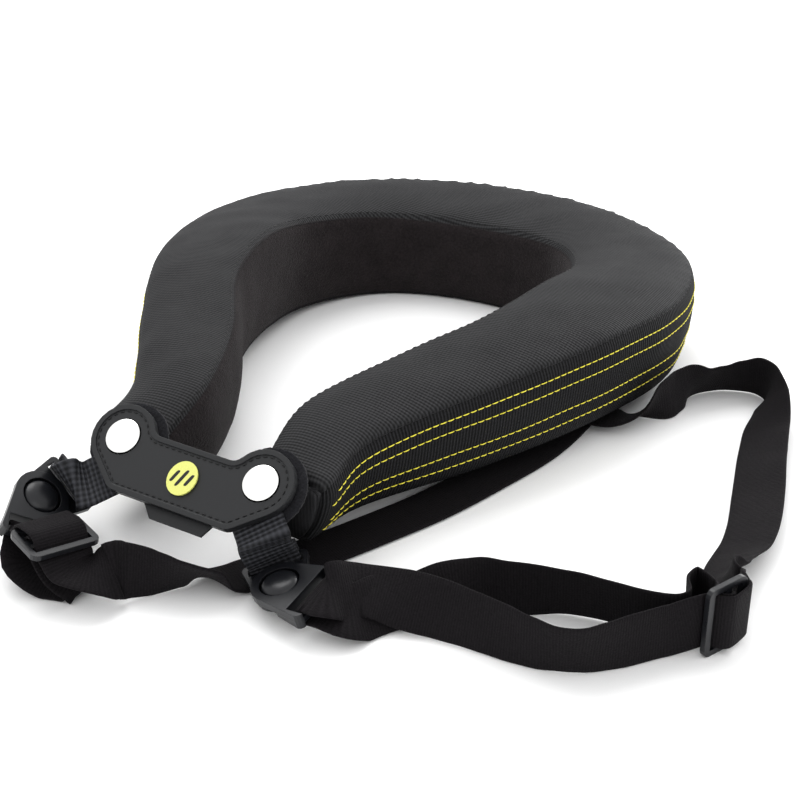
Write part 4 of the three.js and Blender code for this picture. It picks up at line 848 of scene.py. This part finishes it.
def dome(radius, low, skirt, rise):
    """A low cap: a straight skirt, then a rim whose radius falls with a power of a cosine as
    its height grows with the sine, and a flat middle."""
    turn = np.radians(np.linspace(0, 84, 12))
    rim = [(radius * math.cos(a) ** 0.8, skirt + rise * math.sin(a)) for a in turn]
    top = [(radius * share, skirt + rise) for share in (0.08, 0.02)]
    return [(0.02, low), (radius * 0.98, low), (radius, low + 0.2), *rim, *top]


PAD_TOP = -BRIDGE_THICK / 2 - 2 * CLEARANCE - WEBBING_THICK


def add_hook_pad(side, x):
    """The round pad under one lobe: rings from its lower middle to its rim and from there back
    to its upper middle, with the rim pushed about by short waves as a pile of loops is."""
    share = np.linspace(0.02, 1, 30)[:, None]
    angle = np.arange(160) * 2 * math.pi / 160
    discs = []
    for height, radius in ((PAD_TOP - HOOK_PAD_THICK, HOOK_PAD_RADIUS * share),
                           (PAD_TOP, HOOK_PAD_RADIUS * share[::-1])):
        discs.append(np.stack([x + radius * np.cos(angle), radius * np.sin(angle),
                               height + 0 * radius * angle], -1))
    pad = in_frame(BRIDGE, np.concatenate(discs))
    spoke = pad - in_frame(BRIDGE, (x, 0, PAD_TOP))
    at_rim = np.linalg.norm(spoke, axis=-1, keepdims=True) > PILE_START
    pad = pad + unit(spoke) * waves(pad, PILE_LENGTH, PILE_HEIGHT, 5)[..., None] * at_rim
    made = add_loft("hook_pile_" + side, pad, HOOK_LOOP)
    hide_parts("hook_pad_" + side)


SNAP_CAP = dome(SNAP_DIAMETER / 2, PAD_TOP + CLEARANCE, SNAP_HEIGHT - 1, 1)
RIVET_CAP = dome(RIVET_RADIUS, PLATE_TOP + CLEARANCE, 1.4, RIVET_RISE)
for side, x in (("left", -BRIDGE_SPAN / 2), ("right", BRIDGE_SPAN / 2)):
    add_lathe("snap_cap_" + side, BRIDGE, x, SNAP_CAP, NICKEL)
    add_hook_pad(side, x)
for side, buckle in (("right", RIGHT_BUCKLE), ("left", LEFT_BUCKLE)):
    add_lathe("buckle_rivet_" + side, buckle, 0, RIVET_CAP, ACETAL)


def turn_points(x, y, radius, start, end, steps):
    """Points on an arc, in degrees."""
    angle = np.radians(np.linspace(start, end, steps + 1))
    return np.column_stack([x + radius * np.cos(angle), y + radius * np.sin(angle)])


def bridge_outline(inset):
    """The dog-bone outline of the bridge, drawn smaller by an inset."""
    waist_top, bottom, fillet, corner, corner_x = 4.7, -22, 5, 6, 26
    lobe_x, rise = BRIDGE_SPAN / 2, waist_top + fillet
    run = math.sqrt((LOBE_RADIUS + fillet) ** 2 - rise ** 2)
    meet = math.degrees(math.atan2(-rise, run))
    dx, dy = corner_x - lobe_x, bottom + corner
    tangent = math.degrees(math.atan2(dy, dx) + math.acos((LOBE_RADIUS - corner) / math.hypot(dx, dy)))
    half = np.vstack([
        turn_points(lobe_x - run, rise, fillet + inset, -90, meet, 8),
        turn_points(lobe_x, 0, LOBE_RADIUS - inset, 180 + meet, tangent, 30)[1:],
        turn_points(corner_x, bottom + corner, corner - inset, tangent, -90, 6)])
    return np.vstack([half, half[::-1] * [-1, 1]])


FACE = BRIDGE_THICK / 2


def add_bridge_stitching():
    """A row of stitches on the bridge's face, inside its rim."""
    thread = bridge_outline(BRIDGE_RIM + 0.9)
    thread = np.vstack([thread, thread[:1]])
    line = in_frame(BRIDGE, np.column_stack([thread, np.full(len(thread), FACE)]))
    rows = [(line, np.broadcast_to(BRIDGE[:3, 2], line.shape))]
    add_stitches("bridge_stitching", rows, 2.2, 3.0, 0.55, BLACK_THREAD, 0.05)


# level above the face, growth of the outline
BAR_LEVELS = ((0.6, 0), (1.0, 0), (1.25, -0.2))
BAR_SLANT, BAR_MIDDLE_X, BAR_MIDDLE_Y = 0.35, 1, -8.5


def add_emblem_bar(index, shift):
    """One slanting bar of the emblem's plain motif: a rounded oblong whose half sizes are
    multiplied by the square roots of a cosine and a sine, narrower at its top level."""
    angle = np.radians(np.arange(16) * 22.5)
    rings = []
    for level, grow in BAR_LEVELS:
        half_long, half_wide = 3.9 - abs(shift) * 0.35 + grow, 0.85 + grow
        wide = np.sign(np.cos(angle)) * np.abs(np.cos(angle)) ** 0.5 * half_wide
        long = np.sign(np.sin(angle)) * np.abs(np.sin(angle)) ** 0.5 * half_long
        x = BAR_MIDDLE_X + shift + wide + long * BAR_SLANT
        ring = np.column_stack([x, BAR_MIDDLE_Y + long, np.full(16, FACE + level)])
        rings.append(in_frame(BRIDGE, ring))
    add_loft("emblem_bar_%d" % index, np.array(rings), RUBBER, smooth=False)


add_bridge_stitching()
for index, shift in enumerate((-3.4, 0, 3.4)):
    add_emblem_bar(index + 1, shift)

# The hard pieces that stay as they are
finishes = {"bridge": RUBBER, "label_tab": RUBBER, "emblem": PALE_YELLOW}
for part in ("buckle_head_", "buckle_plate_", "triglide_"):
    finishes.update({part + side: ACETAL for side in ("left", "right")})
for name, material in finishes.items():
    for node_slot in NODES[name].material_slots:
        node_slot.material = material

# Floor, light and camera
# Matt white paper: it takes soft shadows
FLOOR = new_material("paper_floor", 0xf6f6f6, 0xffffff, grain, 0.9, 0.0)
FLOOR_HALF = 4
corners = [(x * FLOOR_HALF, y * FLOOR_HALF, 0) for x, y in ((-1, -1), (1, -1), (1, 1), (-1, 1))]
mesh = bpy.data.meshes.new("floor")
mesh.from_pydata(corners, [], [(0, 1, 2, 3)])
mesh.materials.append(FLOOR)
floor = bpy.data.objects.new("floor", mesh)
bpy.context.collection.objects.link(floor)


LIGHT_AIM = Vector((-0.03, 0, 0.02))
CAMERA_AT, CAMERA_AIM = Vector((0.2563, -0.571, 0.3337)), Vector((-0.0242, 0.0172, 0.0002))


def add_light(name, position, size, power):
    """A square soft light that faces the collar."""
    lamp = bpy.data.lights.new(name, "AREA")
    lamp.shape, lamp.size, lamp.energy = "SQUARE", size, power
    made = bpy.data.objects.new(name, lamp)
    made.location = position
    made.rotation_euler = (LIGHT_AIM - Vector(position)).to_track_quat("-Z", "Y").to_euler()
    bpy.context.collection.objects.link(made)


add_light("key", (-0.7, 0.5, 1.5), 1.1, 11)
add_light("fill", (1.1, -1.0, 1.1), 1.2, 2.5)
add_light("rim", (0.4, 1.5, 0.7), 0.9, 9)
scene = bpy.context.scene
world = bpy.data.worlds.new("studio")
world.use_nodes = True
world.node_tree.nodes["Background"].inputs["Color"].default_value = (1, 1, 1, 1)
world.node_tree.nodes["Background"].inputs["Strength"].default_value = 1.0
scene.world = world
scene.view_settings.view_transform = "Standard"
scene.view_settings.look = "Medium High Contrast"

lens = bpy.data.cameras.new("camera")
lens.lens, lens.sensor_width, lens.clip_start = 67.5, 36, 0.01
camera = bpy.data.objects.new("camera", lens)
camera.location = CAMERA_AT
camera.rotation_euler = (CAMERA_AIM - CAMERA_AT).to_track_quat("-Z", "Y").to_euler()
bpy.context.collection.objects.link(camera)
scene.camera = camera
